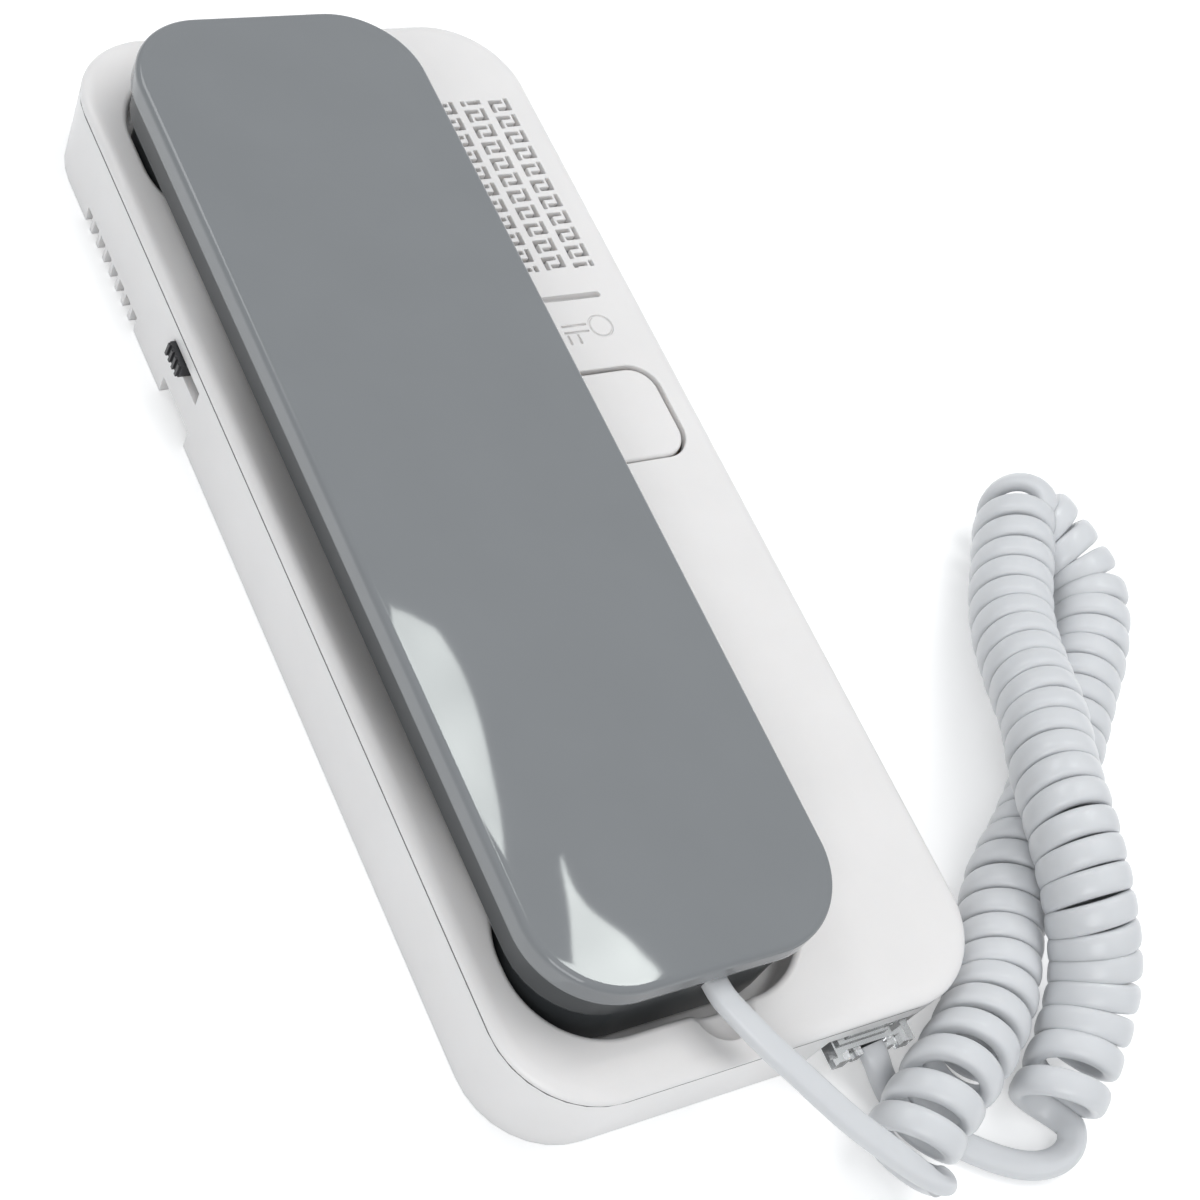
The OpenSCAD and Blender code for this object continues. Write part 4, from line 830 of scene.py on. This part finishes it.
def make_button():
    """The button's cap: straight walls, a soft edge and a slightly crowned top."""
    shell = Shell()
    rows = [(0, BUTTON_LOW, 1, -1), (0, BUTTON_SHOULDER, 1, 0)]
    for k in range(1, BUTTON_STEPS + 1):
        a = math.radians(90 * k / BUTTON_STEPS)
        rows.append((BUTTON_REACH * (1 - math.cos(a)), BUTTON_SHOULDER + BUTTON_RISE * math.sin(a),
                     math.cos(a), math.sin(a)))
    rows += crown(**BUTTON_CROWN)
    shell.loft(rounded_box(*BUTTON_BOX, BUTTON_CORNER, arc=14), rows)
    return shell.make("button_cap", WHITE)


def carry(piece, body, slot, *nodes):
    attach(piece, body)
    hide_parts(*nodes)


WELD, SHARP_ANGLE = 0.000002, 25


def smoothing_group():
    """Welds a CAD node's faces and shades it smooth, but for edges sharper than an angle."""
    group = bpy.data.node_groups.new("smooth_by_angle", "GeometryNodeTree")
    group.interface.new_socket("Geometry", in_out="INPUT", socket_type="NodeSocketGeometry")
    group.interface.new_socket("Geometry", in_out="OUTPUT", socket_type="NodeSocketGeometry")
    make = group.nodes.new
    start, end = make("NodeGroupInput"), make("NodeGroupOutput")
    plain = make("GeometryNodeRemoveAttribute")
    plain.inputs["Name"].default_value = "custom_normal"
    weld = make("GeometryNodeMergeByDistance")
    weld.inputs["Distance"].default_value = WELD
    faces, edges, sharp = (make("GeometryNodeSetShadeSmooth") for k in range(3))
    edges.domain = sharp.domain = "EDGE"
    sharp.inputs["Shade Smooth"].default_value = False
    angle, limit = make("GeometryNodeInputMeshEdgeAngle"), make("FunctionNodeCompare")
    limit.operation = "GREATER_THAN"
    limit.inputs["B"].default_value = math.radians(SHARP_ANGLE)
    group.links.new(angle.outputs["Unsigned Angle"], limit.inputs["A"])
    group.links.new(limit.outputs["Result"], sharp.inputs["Selection"])
    chain = [start, plain, weld, faces, edges, sharp, end]
    for a, b in zip(chain, chain[1:]):
        group.links.new(a.outputs["Geometry"], b.inputs["Geometry"])
    return group


carry(make_front_cover(), "base", "white_plastic", "front_cover")
carry(make_button(), "button", "white_plastic", "door_button")
carry(make_handset_shell(), "handset", "grey_plastic", "handset_outer_shell")
smooth_group = smoothing_group()
for name in ("rear_cover", "handset_inner_shell", "hook_lever", "volume_knob", "base_jack", "modular_plug"):
    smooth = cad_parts[name].modifiers.new("smooth", "NODES")
    smooth.node_group = smooth_group


# ---- cord pieces -------------------------------------------------------------------------------------

curly = base_lead + reverse(coil) + [(coil_start, -start_go, coil[0][2])]
curly_cord = cord_piece("curly_cord", curly, CORD)
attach(curly_cord, "base")
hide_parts("cord_coil", "cord_lead_base")
path_length(curly)

handset_cord = cord_piece("handset_cord", handset_lead, CORD, LEAD_WIDTH)
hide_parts("cord_lead_handset")
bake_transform(handset_cord)
path_length(handset_lead)


# ---- floor and light ---------------------------------------------------------------------------------

FLOOR_HALF, FLOOR_LEVEL = 3000, -0.05
FLOOR_GLOW, FLOOR_SCALE, FLOOR_ROUGH = 0.32, 3, 0.9
FLOOR_SHADES = (0.86, 0.86, 0.86), (0.88, 0.88, 0.88)
WORLD_COLOUR, WORLD_STRENGTH = (0.93, 0.97, 1, 1), 0.5
CARD_LEVEL, CARD_STEPS, CARD_COLOUR = 600, 4, (0.95, 1, 0.97, 1)
CARD_DIM, CARD_BRIGHT, CARD_SCALE = 0.55, 1.45, 18          # a card's uneven light
WINDOW_LEFT = ((250, 282), (284, 277), (301, 268), (307, 262), (310, 240), (307, 218), (300, 195),
               (291, 170), (279, 148), (266, 132), (225, 120), (225, 200))
WINDOW_RIGHT = ((318, 150), (317, 137), (320, 126), (326, 115), (332, 104), (335, 92), (338, 78),
                (330, 60), (280, 60), (290, 90), (306, 122))


def make_floor():
    """Pale paper, white to the camera and in gloss where no shadow falls."""
    material, tree, shader = nodes_of("floor_pale")
    tree.links.new(ramp(tree, noise(tree, FLOOR_SCALE), FLOOR_SHADES), shader.inputs["Base Color"])
    shader.inputs["Roughness"].default_value = FLOOR_ROUGH
    ray = tree.nodes.new("ShaderNodeLightPath").outputs
    seen = calculated(tree, "MAXIMUM", ray["Is Camera Ray"], ray["Is Glossy Ray"])
    clear = calculated(tree, "MAXIMUM", seen, ray["Is Transmission Ray"])
    glow = calculated(tree, "MULTIPLY", clear, FLOOR_GLOW)
    tree.links.new(glow, shader.inputs["Emission Strength"])
    shader.inputs["Emission Color"].default_value = (1, 1, 1, 1)
    corners = [(x * FLOOR_HALF, y * FLOOR_HALF, FLOOR_LEVEL) for x, y in ((-1, -1), (1, -1), (1, 1), (-1, 1))]
    floor = new_object("floor", corners, [(0, 1, 2, 3)], material)


def area_light(name, at, target, size, power, glossy=True):
    data = bpy.data.lights.new(name, "AREA")
    data.shape = "RECTANGLE"
    data.size, data.size_y = size
    data.energy = power
    light = bpy.data.objects.new(name, data)
    light.location = at
    light.rotation_euler = (Vector(target) - Vector(at)).to_track_quat("-Z", "Y").to_euler()
    light.visible_glossy = glossy
    bpy.context.scene.collection.objects.link(light)


def window_card(name, corners, strength):
    """A bright window that shows only as a reflection in gloss."""
    material, tree, shader = nodes_of(name)
    shader.inputs["Base Color"].default_value = (0, 0, 0, 1)
    shader.inputs["Emission Color"].default_value = CARD_COLOUR
    folds = span(tree, noise(tree, CARD_SCALE, 1), CARD_DIM * strength, CARD_BRIGHT * strength)
    tree.links.new(folds, shader.inputs["Emission Strength"])
    loop = [(x, y, CARD_LEVEL) for x, y in corners]
    points = [curve([loop[(k + i) % len(loop)] for i in range(-1, 3)], t / CARD_STEPS)
              for k in range(len(loop)) for t in range(CARD_STEPS)]
    card = new_object(name, points, [tuple(range(len(points)))], material)
    card.visible_camera = card.visible_diffuse = card.visible_shadow = card.visible_transmission = False


make_floor()
area_light("key_light", (0.4, 0.05, 1.15), (0, 0, 0), (0.8, 0.8), 6.3, glossy=False)
area_light("top_light", (-0.25, 0.75, 0.85), (0.03, 0, 0), (0.5, 0.35), 1.6)
area_light("fill_light", (-0.8, -0.8, 1), (0, -0.03, 0), (0.8, 0.8), 6.4)
window_card("window_left", WINDOW_LEFT, 10)
window_card("window_right", WINDOW_RIGHT, 12)
world = bpy.data.worlds.new("studio")
world.use_nodes = True
background = world.node_tree.nodes["Background"]
background.inputs["Color"].default_value = WORLD_COLOUR
background.inputs["Strength"].default_value = WORLD_STRENGTH
bpy.context.scene.world = world
bpy.context.scene.view_settings.view_transform = "Standard"

bpy.context.view_layer.update()
